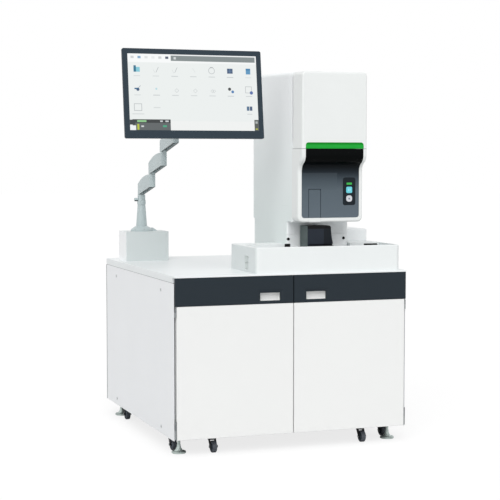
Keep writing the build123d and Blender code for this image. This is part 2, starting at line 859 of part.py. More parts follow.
# Main housing of the tower: a tall body on a set-back neck, with the reagent
# shelf and the hinge lugs of the upper cover on its front wall
with BuildPart() as main_housing:
    with BuildSketch(Plane.YZ.offset(tower_x)):
        with BuildLine():
            Polyline(
                (neck_wrap, counter_height),
                (tower_foot_back, counter_height),
                (tower_foot_back, tower_foot_top),
                (tower_back, tower_foot_top + 3),
                (tower_back, top_of_tower(tower_back)),
                (tower_body_front, top_of_tower(tower_body_front)),
                (tower_body_front, overhang_height),
                (neck_wrap, overhang_height),
                close=True,
            )
        make_face()
    extrude(amount=tower_width / 2, both=True)
    roof_edges = main_housing.faces().sort_by(Axis.Z)[-1].edges()
    fillet(roof_edges.sort_by(Axis.Y)[1:], tower_corner)
    with BuildSketch(Plane.XY.offset(neck_seam_height)):
        with BuildLine():
            neck_outline(0)
        make_face()
    extrude(amount=overhang_height - neck_seam_height)
    with BuildSketch(Plane.XY.offset(counter_height)):
        with BuildLine():
            neck_outline(neck_cover_thickness)
        make_face()
    extrude(amount=neck_seam_height - counter_height)
    for side in (-1, 1):
        lug_x = tower_x + side * (tower_width / 2 - cover_lug_inset)
        with BuildSketch(Plane.YZ.offset(lug_x)):
            with Locations((cover_hinge_y, cover_hinge_z)):
                Circle(cover_lug_radius)
            with Locations(((cover_hinge_y + tower_body_front) / 2, cover_hinge_z - 1)):
                Rectangle(tower_body_front - cover_hinge_y, 2 * cover_lug_radius - 2)
        extrude(amount=cover_lug_width / 2, both=True)
        with BuildSketch(Plane.YZ.offset(lug_x)):
            with Locations((cover_hinge_y, cover_hinge_z)):
                Circle(cover_hinge_pin)
        extrude(amount=cover_lug_width / 2 + cover_pin_reach, both=True)
    with BuildSketch(Plane.XY.offset(shelf_height)):
        with Locations((tower_x, tower_body_front - shelf_depth / 2)):
            Rectangle(cartridge_count * cartridge_pitch + 8, shelf_depth)
    extrude(amount=shelf_thickness)
    with BuildSketch(Plane.XZ.offset(-tower_back)):
        with Locations((tower_x, vent_height)):
            with GridLocations(0, vent_pitch, 1, vent_count):
                SlotOverall(vent_length, vent_width)
    extrude(amount=vent_depth, mode=Mode.SUBTRACT)
    with BuildSketch(Plane.XZ.offset(-tower_foot_back)):
        with Locations((tower_x + tower_width / 4, inlet_z)):
            RectangleRounded(inlet_width, inlet_height, 3)
    extrude(amount=inlet_depth, mode=Mode.SUBTRACT)
keep(main_housing, "main_housing")

# Neck cover, wrapped around the lower part of the neck
with BuildPart() as neck_cover:
    with BuildSketch(Plane.XY.offset(deck_top + rest_gap)):
        with BuildLine():
            neck_outline(0)
        make_face()
    extrude(amount=neck_seam_height - neck_seam - deck_top - rest_gap)
    with BuildSketch(Plane.XY.offset(deck_top)):
        with BuildLine():
            neck_outline(neck_cover_thickness)
        make_face()
    extrude(amount=neck_seam_height - deck_top, mode=Mode.SUBTRACT)
keep(neck_cover, "neck_cover")

# Low block to the right of the tower, behind the sampler
with BuildPart() as base_block:
    block_left = tower_right + block_gap
    block_front = sampler_back + block_gap
    with BuildSketch(Plane.XY.offset(counter_height)):
        with Locations(((block_left + block_right) / 2, (block_front + tower_foot_back) / 2)):
            Rectangle(block_right - block_left, tower_foot_back - block_front)
    extrude(amount=block_top - counter_height)
    fillet(base_block.edges().filter_by(Axis.Z).group_by(Axis.X)[-1], block_edge)
    fillet(base_block.faces().sort_by(Axis.Z)[-1].edges(), block_edge / 2)
keep(base_block, "base_block")

window_left = tower_left + window_margin
window_right = tower_right - window_margin
window_width = window_right - window_left
window_bottom = overhang_height + window_sill


def front_line(shift, low, high):
    """Adds the tower's front line, seen from the side: an S between two uprights."""
    upper_y = tower_front + shift
    lower_y = lower_front + shift
    middle = ((upper_y + lower_y) / 2, (curve_top + curve_bottom) / 2)
    upper = Line((upper_y, high), (upper_y, curve_top))
    bend = TangentArc(upper @ 1, middle, tangent=upper % 1)
    counter_bend = TangentArc(middle, (lower_y, curve_bottom), tangent=bend % 1)
    Line(counter_bend @ 1, (lower_y, low))


def window_outline(gap):
    """Adds the outline of the dark window, with its rounded lower corners."""
    FilletPolyline(
        (window_left + gap, cover_bottom),
        (window_left + gap, window_bottom + gap),
        (window_right - gap, window_bottom + gap),
        (window_right - gap, cover_bottom),
        radius=window_corner,
    )
    Line((window_right - gap, cover_bottom), (window_left + gap, cover_bottom))


# White front frame: the surround of the dark panel, open above and behind it
with BuildPart() as front_frame:
    with BuildSketch(Plane.YZ.offset(tower_x)):
        with BuildLine():
            front_line(0, overhang_height, cover_bottom)
            Polyline(
                (lower_front, overhang_height),
                (tower_body_front, overhang_height),
                (tower_body_front, cover_bottom),
                (tower_front, cover_bottom),
            )
        make_face()
    extrude(amount=tower_width / 2, both=True)
    with BuildSketch(Plane.XZ.offset(-tower_front)):
        with BuildLine():
            FilletPolyline(
                (tower_left, cover_bottom),
                (tower_left, overhang_height),
                (tower_right, overhang_height),
                (tower_right, cover_bottom),
                radius=frame_corner,
            )
            Line((tower_right, cover_bottom), (tower_left, cover_bottom))
        make_face()
    extrude(amount=tower_front - tower_body_front, mode=Mode.INTERSECT)
    outer_front = front_frame.edges().filter_by(lambda edge: edge.center().Y < lower_front + 1)
    side_lines = outer_front.filter_by(lambda edge: abs(edge.tangent_at(0.5).X) < 0.01)
    above_corners = side_lines.filter_by(lambda edge: edge.center().Z > overhang_height + frame_corner)
    fillet(above_corners, frame_edge)
    with BuildSketch(Plane.XZ.offset(-tower_front)):
        with BuildLine():
            window_outline(0)
        make_face()
    extrude(amount=tower_front - tower_body_front, mode=Mode.SUBTRACT)
    with BuildSketch(Plane.XZ.offset(-lower_front)):
        with Locations(((tube_door_left + tube_door_right) / 2, overhang_height + window_sill / 2)):
            Rectangle(tube_door_right - tube_door_left, window_sill)
    extrude(amount=-(panel_recess + panel_thickness + rest_gap), mode=Mode.SUBTRACT)
keep(front_frame, "front_frame")

# Dark front panel, following the S of the frame
panel_front = lower_front + panel_recess
button_panel_x = button_panel_left + button_panel_width / 2
button_panel_z = button_panel_bottom + button_panel_height / 2
with BuildPart() as front_panel:
    with BuildSketch(Plane.YZ.offset(tower_x)):
        with BuildLine():
            front_line(panel_recess, overhang_height, cover_bottom - panel_gap)
            front_line(panel_recess + panel_thickness, overhang_height, cover_bottom - panel_gap)
            for end_y, end_z in ((tower_front, cover_bottom - panel_gap), (lower_front, overhang_height)):
                Line(
                    (end_y + panel_recess, end_z),
                    (end_y + panel_recess + panel_thickness, end_z),
                )
        make_face()
    extrude(amount=window_width / 2 - rest_gap, both=True)
    with BuildSketch(Plane.XZ.offset(-tower_front)):
        with BuildLine():
            window_outline(rest_gap)
        make_face()
    extrude(amount=tower_front - tower_body_front, mode=Mode.INTERSECT)
    with BuildSketch(Plane.XZ.offset(-tower_front)):
        with BuildLine():
            FilletPolyline(
                (tube_door_left, window_bottom - 1),
                (tube_door_left, tube_door_top),
                (tube_door_right, tube_door_top),
                (tube_door_right, window_bottom - 1),
                radius=tube_door_corner,
            )
            Line((tube_door_right, window_bottom - 1), (tube_door_left, window_bottom - 1))
        make_face()
    extrude(amount=tower_front - tower_body_front, mode=Mode.SUBTRACT)
    with BuildSketch(Plane.XZ.offset(-panel_front)):
        with Locations((button_panel_x, button_panel_z)):
            RectangleRounded(button_panel_width, button_panel_height, 9)
    extrude(amount=-button_panel_thickness, mode=Mode.SUBTRACT)
    with BuildSketch(Plane.XZ.offset(-panel_front)):
        with Locations((button_x, start_button_z), (button_x, mode_button_z)):
            Rectangle(button_size, button_size)
    extrude(amount=-panel_thickness, mode=Mode.SUBTRACT)
keep(front_panel, "front_panel")

# Button panel with the openings of its two buttons
with BuildPart() as button_panel:
    with BuildSketch(Plane.XZ.offset(-panel_front - button_panel_thickness)):
        with Locations((button_panel_x, button_panel_z)):
            RectangleRounded(
                button_panel_width - 2 * screen_gap, button_panel_height - 2 * screen_gap, 9 - screen_gap
            )
        with Locations((button_x, start_button_z)):
            RectangleRounded(button_size, button_size, start_button_corner, mode=Mode.SUBTRACT)
        with Locations((button_x, mode_button_z)):
            RectangleRounded(button_size, button_size, mode_button_corner, mode=Mode.SUBTRACT)
    extrude(amount=button_panel_thickness + button_panel_proud)
    fillet(button_panel.faces().sort_by(Axis.Y)[0].outer_wire().edges(), 0.5)
keep(button_panel, "button_panel")

# Push buttons, sliding inwards
for name, button_z, corner in (
    ("start_button", start_button_z, start_button_corner),
    ("mode_button", mode_button_z, mode_button_corner),
):
    with BuildPart() as push_button:
        with BuildSketch(Plane.XZ.offset(-panel_front + button_panel_proud + button_proud)):
            with Locations((button_x, button_z)):
                RectangleRounded(
                    button_size - 2 * button_gap, button_size - 2 * button_gap, corner - button_gap
                )
        extrude(amount=-button_length)
        fillet(push_button.faces().sort_by(Axis.Y)[0].edges(), 1)
    keep(push_button, name)

# Tube holder: a door with a tray and a cup for one sample tube behind it
with BuildPart() as tube_holder:
    door_x = (tube_door_left + tube_door_right) / 2
    door_half = (tube_door_right - tube_door_left) / 2 - tube_door_gap
    with BuildSketch(Plane.XZ.offset(-panel_front)):
        with BuildLine():
            FilletPolyline(
                (door_x - door_half, window_bottom),
                (door_x - door_half, tube_door_top - tube_door_gap),
                (door_x + door_half, tube_door_top - tube_door_gap),
                (door_x + door_half, window_bottom),
                radius=tube_door_corner,
            )
            Line((door_x + door_half, window_bottom), (door_x - door_half, window_bottom))
        make_face()
    extrude(amount=-panel_thickness)
    with BuildSketch(Plane.XZ.offset(-lower_front)):
        with Locations((door_x, overhang_height + (window_sill + rest_gap) / 2)):
            Rectangle(2 * door_half, window_sill + rest_gap)
    extrude(amount=-(panel_recess + panel_thickness))
    with BuildSketch(Plane.XY.offset(window_bottom + rest_gap)):
        with Locations((door_x, panel_front + panel_thickness / 2 + tube_tray_length / 2)):
            Rectangle(tube_tray_width, tube_tray_length)
    extrude(amount=tube_tray_thickness)
    with BuildSketch(Plane.XY.offset(window_bottom + rest_gap)):
        with Locations((door_x, panel_front + tube_cup_setback)):
            Circle(tube_cup_radius)
    extrude(amount=tube_tray_thickness + tube_cup_height)
    with BuildSketch(Plane.XY.offset(window_bottom + rest_gap + tube_tray_thickness)):
        with Locations((door_x, panel_front + tube_cup_setback)):
            Circle(tube_cup_bore)
    extrude(amount=tube_cup_height, mode=Mode.SUBTRACT)
keep(tube_holder, "tube_holder")

# Upper cover: a hood with a deep sill, hinged along its top rear edge
with BuildPart() as upper_cover:
    hood_back = tower_body_front - panel_gap
    hood_floor = cover_bottom + panel_gap
    with BuildSketch(Plane.YZ.offset(tower_x)):
        with BuildLine():
            outline = Polyline(
                (cover_hinge_y, top_of_tower(cover_hinge_y)),
                (tower_front, top_of_tower(tower_front)),
                (tower_front, hood_floor),
                (hood_back, hood_floor),
                (hood_back, cover_hinge_z),
            )
            TangentArc(outline @ 1, outline @ 0, tangent=outline % 1)
        make_face()
    extrude(amount=tower_width / 2, both=True)
    roof_sides = upper_cover.edges().filter_by(lambda edge: edge.center().Z > cover_top_front)
    fillet(roof_sides.filter_by(lambda edge: abs(edge.tangent_at(0.5).Y) > 0.99), tower_corner)
    front_face = upper_cover.faces().sort_by(Axis.Y)[0]
    fillet(front_face.edges().filter_by(lambda edge: edge.center().Z > hood_floor + 1), tower_edge)
    with BuildSketch(Plane.YZ.offset(tower_x)):
        with BuildLine():
            Polyline(
                (tower_front + cover_wall, hood_floor + cover_floor),
                (tower_body_front, hood_floor + cover_floor),
                (tower_body_front, cover_hinge_z - cover_hinge_radius),
                (cover_hinge_y - cover_hinge_radius, cover_hinge_z - cover_hinge_radius),
                (cover_hinge_y - cover_hinge_radius, cover_top_front - 2 * cover_wall),
                (tower_front + cover_wall, cover_top_front - 2 * cover_wall),
                close=True,
            )
        make_face()
    extrude(amount=tower_width / 2 - cover_wall, both=True, mode=Mode.SUBTRACT)
    for side in (-1, 1):
        lug_x = tower_x + side * (tower_width / 2 - cover_lug_inset)
        with Locations((lug_x, tower_body_front, cover_hinge_z)):
            Box(
                cover_lug_width + 1,
                2 * (cover_hinge_radius + panel_gap + cover_hinge_radius + 0.6),
                2 * (cover_hinge_radius + 1.5),
                mode=Mode.SUBTRACT,
            )
        with BuildSketch(Plane.YZ.offset(lug_x)):
            with Locations((cover_hinge_y, cover_hinge_z)):
                Circle(cover_hinge_pin + running_fit)
        extrude(amount=cover_lug_width / 2 + cover_pin_reach + 1, both=True, mode=Mode.SUBTRACT)
    with BuildSketch(Plane.XZ.offset(-tower_front)):
        with BuildLine():
            FilletPolyline(
                (window_left, hood_floor),
                (window_left, hood_floor + light_bar_height),
                (window_right, hood_floor + light_bar_height),
                (window_right, hood_floor),
                radius=light_bar_corner,
            )
            Line((window_right, hood_floor), (window_left, hood_floor))
        make_face()
    extrude(amount=-light_bar_depth, mode=Mode.SUBTRACT)
keep(upper_cover, "upper_cover")

# Green light bar across the front of the upper cover's sill
with BuildPart() as light_bar:
    with BuildSketch(Plane.XZ.offset(-tower_front - light_bar_depth)):
        with BuildLine():
            FilletPolyline(
                (window_left + screen_gap, hood_floor),
                (window_left + screen_gap, hood_floor + light_bar_height - screen_gap),
                (window_right - screen_gap, hood_floor + light_bar_height - screen_gap),
                (window_right - screen_gap, hood_floor),
                radius=light_bar_corner,
            )
            Line((window_right - screen_gap, hood_floor), (window_left + screen_gap, hood_floor))
        make_face()
    extrude(amount=light_bar_depth + light_bar_proud)
    fillet(light_bar.faces().sort_by(Axis.Y)[0].edges(), 0.8)
keep(light_bar, "light_bar")

# Reagent cartridges in a row on the shelf
with BuildPart() as reagent_cartridges:
    cartridge_y = tower_body_front - 6 - cartridge_depth / 2
    with BuildSketch(Plane.XY.offset(shelf_height + shelf_thickness)):
        with Locations((tower_x, cartridge_y)):
            with GridLocations(cartridge_pitch, 0, cartridge_count, 1):
                RectangleRounded(cartridge_width, cartridge_depth, cartridge_edge)
    extrude(amount=cartridge_height)
    with BuildSketch(Plane.XY.offset(shelf_height + shelf_thickness + cartridge_height)):
        with Locations((tower_x, cartridge_y)):
            with GridLocations(cartridge_pitch, 0, cartridge_count, 1):
                Circle(cartridge_width * 0.3)
    extrude(amount=14)
keep(reagent_cartridges, "reagent_cartridges")

# Sheet-metal box under the monitor arm, open below
arm_box_x = arm_box_left + arm_box_width / 2
arm_box_y = arm_box_front + arm_box_depth / 2
arm_box_top = counter_height + arm_box_height
with BuildPart() as arm_box:
    with Locations((arm_box_x, arm_box_y, counter_height)):
        Box(arm_box_width, arm_box_depth, arm_box_height, align=(Align.CENTER, Align.CENTER, Align.MIN))
    fillet(arm_box.edges().filter_by(Axis.Z), arm_box_edge)
    fillet(arm_box.faces().sort_by(Axis.Z)[-1].edges(), 1.5)
    with Locations((arm_box_x, arm_box_y, counter_height)):
        Box(
            arm_box_width - 2 * arm_box_wall,
            arm_box_depth - 2 * arm_box_wall,
            arm_box_height - arm_box_wall,
            align=(Align.CENTER, Align.CENTER, Align.MIN),
            mode=Mode.SUBTRACT,
        )
keep(arm_box, "arm_box")

# Arm base: a domed flange with the low hump of the cable passage beside it
with BuildPart() as arm_base:
    with BuildSketch(Plane(origin=(arm_x, arm_y, arm_box_top), x_dir=(1, 0, 0), z_dir=(0, -1, 0))):
        with BuildLine():
            Polyline((post_radius_low, flange_rim + flange_dome), (0, flange_rim + flange_dome), (0, 0))
            Polyline((0, 0), (flange_radius, 0), (flange_radius, flange_rim))
            ThreePointArc(
                (flange_radius, flange_rim),
                (post_radius_low * 1.5, flange_rim + flange_dome * 0.62),
                (post_radius_low, flange_rim + flange_dome),
            )
        make_face()
    revolve(axis=Axis((arm_x, arm_y, 0), (0, 0, 1)))
    with BuildSketch(Plane.XY.offset(arm_box_top)):
        with Locations((arm_x + lobe_offset, arm_y)):
            Ellipse(lobe_length, lobe_width)
    with BuildSketch(Plane.XY.offset(arm_box_top + lobe_height)):
        with Locations((arm_x + lobe_offset - 8, arm_y)):
            Ellipse(lobe_length * 0.62, lobe_width * 0.62)
    loft()
keep(arm_base, "arm_base")

# Arm post: tapered, with a collar, a side knob and the first pivot pin
post_bottom = arm_box_top + flange_rim + flange_dome
collar_top = post_top + collar_height
with BuildPart() as arm_post:
    with BuildSketch(Plane(origin=(arm_x, arm_y, 0), x_dir=(1, 0, 0), z_dir=(0, -1, 0))):
        with BuildLine():
            Polyline(
                (0, post_bottom),
                (post_radius_low, post_bottom),
                (post_radius_high, post_top),
                (collar_radius, post_top),
                (collar_radius, post_top + collar_height * 0.4),
                (collar_radius - collar_groove, post_top + collar_height * 0.44),
                (collar_radius - collar_groove, collar_top),
                (arm_pin_radius, collar_top),
                (arm_pin_radius, collar_top + arm_pin_length),
                (0, collar_top + arm_pin_length),
                close=True,
            )
        make_face()
    revolve(axis=Axis((arm_x, arm_y, 0), (0, 0, 1)))
    with BuildSketch(Plane.YZ.offset(arm_x - collar_radius + 2)):
        with Locations((arm_y, post_top + collar_height * 0.5)):
            Circle(knob_radius)
    extrude(amount=-knob_length)
keep(arm_post, "arm_post")

# Arm links: each turns on the pivot below its rear end and carries the next
for number in range(1, link_count + 1):
    link_z = collar_top + (number - 1) * link_rise
    rear_y = arm_y - (number - 1) * link_length
    barrel_y = rear_y - link_length
    half = link_width / 2
    with BuildPart() as arm_link:
        with BuildSketch(Plane.YZ.offset(arm_x)):
            with BuildLine():
                Polyline(
                    (barrel_y, link_z + link_rise - 2),
                    (barrel_y, link_z + barrel_low),
                    (rear_y + half * 0.4, link_z),
                    (rear_y + half, link_z),
                    (rear_y + half, link_z + link_rear_height),
                )
                ThreePointArc(
                    (rear_y + half, link_z + link_rear_height),
                    ((rear_y + barrel_y) / 2 + half, link_z + link_rear_height + 34),
                    (barrel_y, link_z + link_rise - 2),
                )
            make_face()
        extrude(amount=half, both=True)
        under_rear = (rear_y + half * 0.4, link_z)
        under_front = (barrel_y, link_z + barrel_low)
        with BuildSketch(Plane.YZ.offset(arm_x)):
            with BuildLine():
                Polyline(
                    (under_rear[0], under_rear[1] - link_channel_depth),
                    (under_front[0], under_front[1] - link_channel_depth),
                    (under_front[0], under_front[1] + link_channel_depth),
                    (under_rear[0], under_rear[1] + link_channel_depth),
                    close=True,
                )
            make_face()
        extrude(amount=link_channel_width / 2, both=True, mode=Mode.SUBTRACT)
        with BuildSketch(Plane.XY.offset(link_z)):
            with Locations((arm_x, rear_y)):
                Circle(half)
        extrude(amount=boss_height - 2)
        with BuildSketch(Plane.XY.offset(link_z + barrel_low)):
            with Locations((arm_x, barrel_y)):
                Circle(half)
        extrude(amount=link_rise - barrel_low)
        with BuildSketch(Plane.XY.offset(link_z + link_rise)):
            with Locations((arm_x, barrel_y)):
                Circle(arm_pin_radius)
        extrude(amount=arm_pin_length)
        with BuildSketch(Plane.XY.offset(link_z)):
            with Locations((arm_x, rear_y)):
                Circle(arm_pin_radius + running_fit)
        extrude(amount=arm_pin_length + 1, mode=Mode.SUBTRACT)
    keep(arm_link, f"arm_link_{number}")

# Head of the arm: turns on the last pivot and carries the tilting mount
tilt = radians(monitor_tilt)
head_z = collar_top + link_count * link_rise
head_y = arm_y - link_count * link_length
monitor_depth = bezel_thickness + shell_depth
mount_back = monitor_y + (monitor_depth + mount_plate_thickness) / cos(tilt)
tilt_axis_y = mount_back + tilt_axis_setback
tilt_axis_z = monitor_z
fork_gap = mount_lug_width + rest_gap
with BuildPart() as monitor_yoke:
    with BuildSketch(Plane.XY.offset(head_z)):
        with Locations((arm_x, head_y)):
            Circle(yoke_neck_radius + yoke_wall)
    extrude(amount=tilt_axis_z - head_z - yoke_height / 2 + 1)
    with BuildSketch(Plane.XY.offset(tilt_axis_z - yoke_height / 2)):
        block_back_y = head_y + yoke_neck_radius + yoke_wall
        block_front_y = tilt_axis_y + mount_lug_radius + lug_clearance
        with Locations((arm_x, (block_back_y + block_front_y) / 2)):
            Rectangle(yoke_width, block_back_y - block_front_y)
    extrude(amount=yoke_height)
    with BuildSketch(Plane.YZ.offset(arm_x)):
        with Locations((tilt_axis_y, tilt_axis_z)):
            Circle(yoke_height / 2)
        with Locations((tilt_axis_y + mount_lug_radius, tilt_axis_z)):
            Rectangle(2 * mount_lug_radius, yoke_height)
    extrude(amount=fork_gap / 2, both=True)
    with BuildSketch(Plane.YZ.offset(arm_x)):
        with Locations((tilt_axis_y, tilt_axis_z)):
            Circle(tilt_pin_radius)
    extrude(amount=fork_gap / 2 + mount_lug_width + 2, both=True)
    with BuildSketch(Plane.XY.offset(head_z)):
        with Locations((arm_x, head_y)):
            Circle(arm_pin_radius + running_fit)
    extrude(amount=arm_pin_length + 1, mode=Mode.SUBTRACT)
keep(monitor_yoke, "monitor_yoke")

# Planes of the tilted monitor: its front face, with the tilt to the back
screen_plane = Plane(
    origin=(monitor_x, monitor_y, monitor_z), x_dir=(1, 0, 0), z_dir=(0, -cos(tilt), sin(tilt))
)

# Tilting mount: a square plate with two lugs on the tilt pin
with BuildPart() as monitor_mount:
    with BuildSketch(screen_plane.offset(-monitor_depth)):
        RectangleRounded(mount_plate, mount_plate, 8)
    extrude(amount=-mount_plate_thickness)
    for side in (-1, 1):
        lug_centre = arm_x + side * (fork_gap / 2 + rest_gap + mount_lug_width / 2)
        with BuildSketch(Plane.YZ.offset(lug_centre)):
            with Locations((tilt_axis_y, tilt_axis_z)):
                Circle(mount_lug_radius)
            with Locations(((tilt_axis_y + mount_back - 2) / 2, tilt_axis_z)):
                Rectangle(tilt_axis_y - mount_back + 2, 2 * mount_lug_radius)
        extrude(amount=mount_lug_width / 2, both=True)
        with BuildSketch(Plane.YZ.offset(lug_centre)):
            with Locations((tilt_axis_y, tilt_axis_z)):
                Circle(tilt_pin_radius + running_fit)
        extrude(amount=mount_lug_width / 2, both=True, mode=Mode.SUBTRACT)
keep(monitor_mount, "monitor_mount")

# Rear shell of the monitor, tapering to the flat where the mount sits
with BuildPart() as monitor_shell:
    with BuildSketch(screen_plane.offset(-bezel_thickness)):
        RectangleRounded(monitor_width, monitor_height, bezel_corner)
    with BuildSketch(screen_plane.offset(-monitor_depth)):
        RectangleRounded(shell_back_width, shell_back_height, 20)
    loft()
keep(monitor_shell, "monitor_shell")

# Bezel around the screen
screen_width = monitor_width - 2 * bezel_side
screen_height = monitor_height - bezel_side - bezel_bottom
screen_up = (bezel_bottom - bezel_side) / 2
with BuildPart() as monitor_bezel:
    with BuildSketch(screen_plane):
        RectangleRounded(monitor_width, monitor_height, bezel_corner)
    extrude(amount=-bezel_thickness)
    fillet(monitor_bezel.faces().sort_by(Axis.Y)[0].edges(), 1.5)
    with BuildSketch(screen_plane):
        with Locations((0, screen_up)):
            Rectangle(screen_width, screen_height)
    extrude(amount=-bezel_thickness, mode=Mode.SUBTRACT)
keep(monitor_bezel, "monitor_bezel")

# Screen, a flat block that fills the bezel down to the rear shell
with BuildPart() as monitor_screen:
    with BuildSketch(screen_plane.offset(-screen_recess)):
        with Locations((0, screen_up)):
            Rectangle(screen_width - 2 * screen_gap, screen_height - 2 * screen_gap)
    extrude(amount=screen_recess - bezel_thickness)
keep(monitor_screen, "monitor_screen")
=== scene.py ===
# %% [markdown]
# # A hematology analyzer on its wheeled cabinet
#
# The real object is a laboratory instrument: a tall white tower over a rack sampler, standing on a
# cabinet with two doors, six castors and four levelling feet, with a monitor on a long folding arm.
# Its solids come packed as a fixed frame, in metres, with Z up and the user in front, at negative Y.
# This script leaves their shapes as they are. It gives every surface its finish, adds the small
# pieces that only matter to the eye, and lights the whole as in a plain studio.

# %% Load the frame
import math

import bmesh
import bpy
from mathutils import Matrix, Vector


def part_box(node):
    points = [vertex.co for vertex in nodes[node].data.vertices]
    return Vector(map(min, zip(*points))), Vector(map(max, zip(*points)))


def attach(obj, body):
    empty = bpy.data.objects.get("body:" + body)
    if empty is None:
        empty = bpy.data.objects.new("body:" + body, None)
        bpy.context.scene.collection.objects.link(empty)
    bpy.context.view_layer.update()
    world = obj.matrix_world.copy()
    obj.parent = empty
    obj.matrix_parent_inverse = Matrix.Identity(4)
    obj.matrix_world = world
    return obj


MM = 0.001
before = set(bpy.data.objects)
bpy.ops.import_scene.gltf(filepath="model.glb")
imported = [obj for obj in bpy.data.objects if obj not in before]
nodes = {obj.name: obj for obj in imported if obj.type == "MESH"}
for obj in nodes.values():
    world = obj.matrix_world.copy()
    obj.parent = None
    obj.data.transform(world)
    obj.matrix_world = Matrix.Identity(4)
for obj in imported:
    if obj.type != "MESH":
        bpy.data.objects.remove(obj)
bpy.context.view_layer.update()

# %% [markdown]
# ## The camera
#
# The photograph was taken from well back, a little to the left and above the worktop, with a long
# lens. One way would be to guess a pleasing view. Here the camera stands where the cabinet's own
# straight edges meet the picture's, so that every piece can be compared with it.

# %% Camera
camera_place = (-2.185, -6.154, 1.231)
camera_down = 3.73
camera_right = 19.62
lens_length = 103.75
sensor_width = 36.0

camera_data = bpy.data.cameras.new("studio_camera")
camera_data.lens = lens_length
camera_data.sensor_width = sensor_width
camera = bpy.data.objects.new("studio_camera", camera_data)
camera.location = camera_place
camera.rotation_euler = (math.radians(90 - camera_down), 0, -math.radians(camera_right))
bpy.context.scene.collection.objects.link(camera)
bpy.context.scene.camera = camera
bpy.context.scene.view_settings.view_transform = "Standard"
print("camera at", camera_place)

# %% [markdown]
# ## Writing shader maths as sums
#
# A finish is a small program of nodes. Placing each node by hand hides the idea behind the wiring,
# so a class wraps a socket and lets ordinary arithmetic add the Math nodes: `1 - mask` or
# `height * 0.5` read as they would on paper. Any other node comes from one method, `node`.


# %% A wire that carries arithmetic
class Wire:
    """A number on its way through a finish's nodes. Arithmetic on it adds Math nodes."""

    def __init__(self, finish, socket):
        self.finish = finish
        self.socket = socket

    def maths(self, operation, first, second=0.0):
        made = self.finish.node("ShaderNodeMath", {"operation": operation}, {0: first, 1: second})
        return Wire(self.finish, made.outputs[0])

    def __add__(self, other):
        return self.maths("ADD", self, other)

    def __sub__(self, other):
        return self.maths("SUBTRACT", self, other)

    def __rsub__(self, other):
        return self.maths("SUBTRACT", other, self)

    def __mul__(self, other):
        return self.maths("MULTIPLY", self, other)

    def __truediv__(self, other):
        return self.maths("DIVIDE", self, other)

    __radd__ = __add__
    __rmul__ = __mul__

    def most(self, other):
        return self.maths("MAXIMUM", self, other)

    def least(self, other):
        return self.maths("MINIMUM", self, other)

    def size(self):
        return self.maths("ABSOLUTE", self)

    def over(self, edge, softness):
        """0 below the edge and 1 above it, changing over a stretch as wide as softness."""
        return ((self - edge) / softness + 0.5).most(0.0).least(1.0)

    def between(self, low, high, softness):
        return self.over(low, softness) * (1 - self.over(high, softness))


# %% A finish and its nodes
class Finish:
    """A material: its principled shader, and the nodes that feed it."""

    def __init__(self, name):
        self.material = bpy.data.materials.new(name)
        self.material.use_nodes = True
        self.tree = self.material.node_tree
        self.shader = self.tree.nodes["Principled BSDF"]

    def link(self, value, socket):
        """Links a wire or an output to a socket, or sets the socket to a plain value."""
        if isinstance(value, Wire):
            value = value.socket
        if isinstance(value, bpy.types.NodeSocket):
            self.tree.links.new(value, socket)
        else:
            socket.default_value = value

    def node(self, kind, settings=None, inputs=None, stops=None):
        """Adds a node: its settings and ramp stops come first, then the values of its sockets."""
        made = self.tree.nodes.new(kind)
        for key, value in (settings or {}).items():
            setattr(made, key, value)
        if stops:
            ramp = made.color_ramp.elements
            while len(ramp) < len(stops):
                ramp.new(0.5)
            for element, (position, colour) in zip(ramp, stops):
                element.position = position
                element.color = colour
        for key, value in (inputs or {}).items():
            self.link(value, made.inputs[key])
        return made

    def set(self, **values):
        """Sets sockets of the principled shader, such as Base_Color or Roughness."""
        for key, value in values.items():
            self.link(value, self.shader.inputs[key.replace("_", " ")])

    def place(self):
        """The place on the piece, in metres in the frame of the whole object, as three wires."""
        where = self.node("ShaderNodeTexCoord").outputs["Object"]
        parts = self.node("ShaderNodeSeparateXYZ", None, {0: where}).outputs
        return [Wire(self, parts[axis]) for axis in range(3)]

    def noise(self, scale, detail=2.0, stretch=(1.0, 1.0, 1.0)):
        """Smooth noise from 0 to 1. A scale of 1000 has features about a millimetre wide."""
        where = self.node("ShaderNodeTexCoord").outputs["Object"]
        spread = self.node("ShaderNodeMapping", None, {"Vector": where, "Scale": stretch})
        made = self.node(
            "ShaderNodeTexNoise", None, {"Vector": spread.outputs[0], "Scale": scale, "Detail": detail}
        )
        return Wire(self, made.outputs["Fac"])

    def blend(self, below, above, mask):
        """A colour between two others, or between a colour and a wire of one, by a mask."""
        made = self.node("ShaderNodeMix", {"data_type": "RGBA"}, {"Factor": mask, 6: below, 7: above})
        return made.outputs[2]

    def bump(self, height, distance):
        """Raises the surface by a wire's height times a distance in metres."""
        made = self.node(
            "ShaderNodeBump", None, {"Height": height, "Distance": distance, "Strength": 1.0}
        )
        self.link(made.outputs[0], self.shader.inputs["Normal"])


def shade(red, green, blue):
    """A colour from its screen values, 0 to 255, as the linear light that shaders use."""
    channels = []
    for value in (red, green, blue):
        part = value / 255
        channels.append(part / 12.92 if part <= 0.04045 else ((part + 0.055) / 1.055) ** 2.4)
    return (*channels, 1.0)


print("a mid grey is", round(shade(128, 128, 128)[0], 3), "in linear light")

# %% [markdown]
# ## Floor, background and light
#
# The object stands in a white studio: a floor that runs into a white background with no edge. The
# light is plain and soft. A large bright sky would light every side alike, so a wide sun from the
# front, above and a little to the left gives the front its brightness and the sides their tone.
# What the camera and mirrors see as white is kept apart from how much light falls on the object.

# %% Sky
sky_on_object = 0.60
sky_seen = 1.0

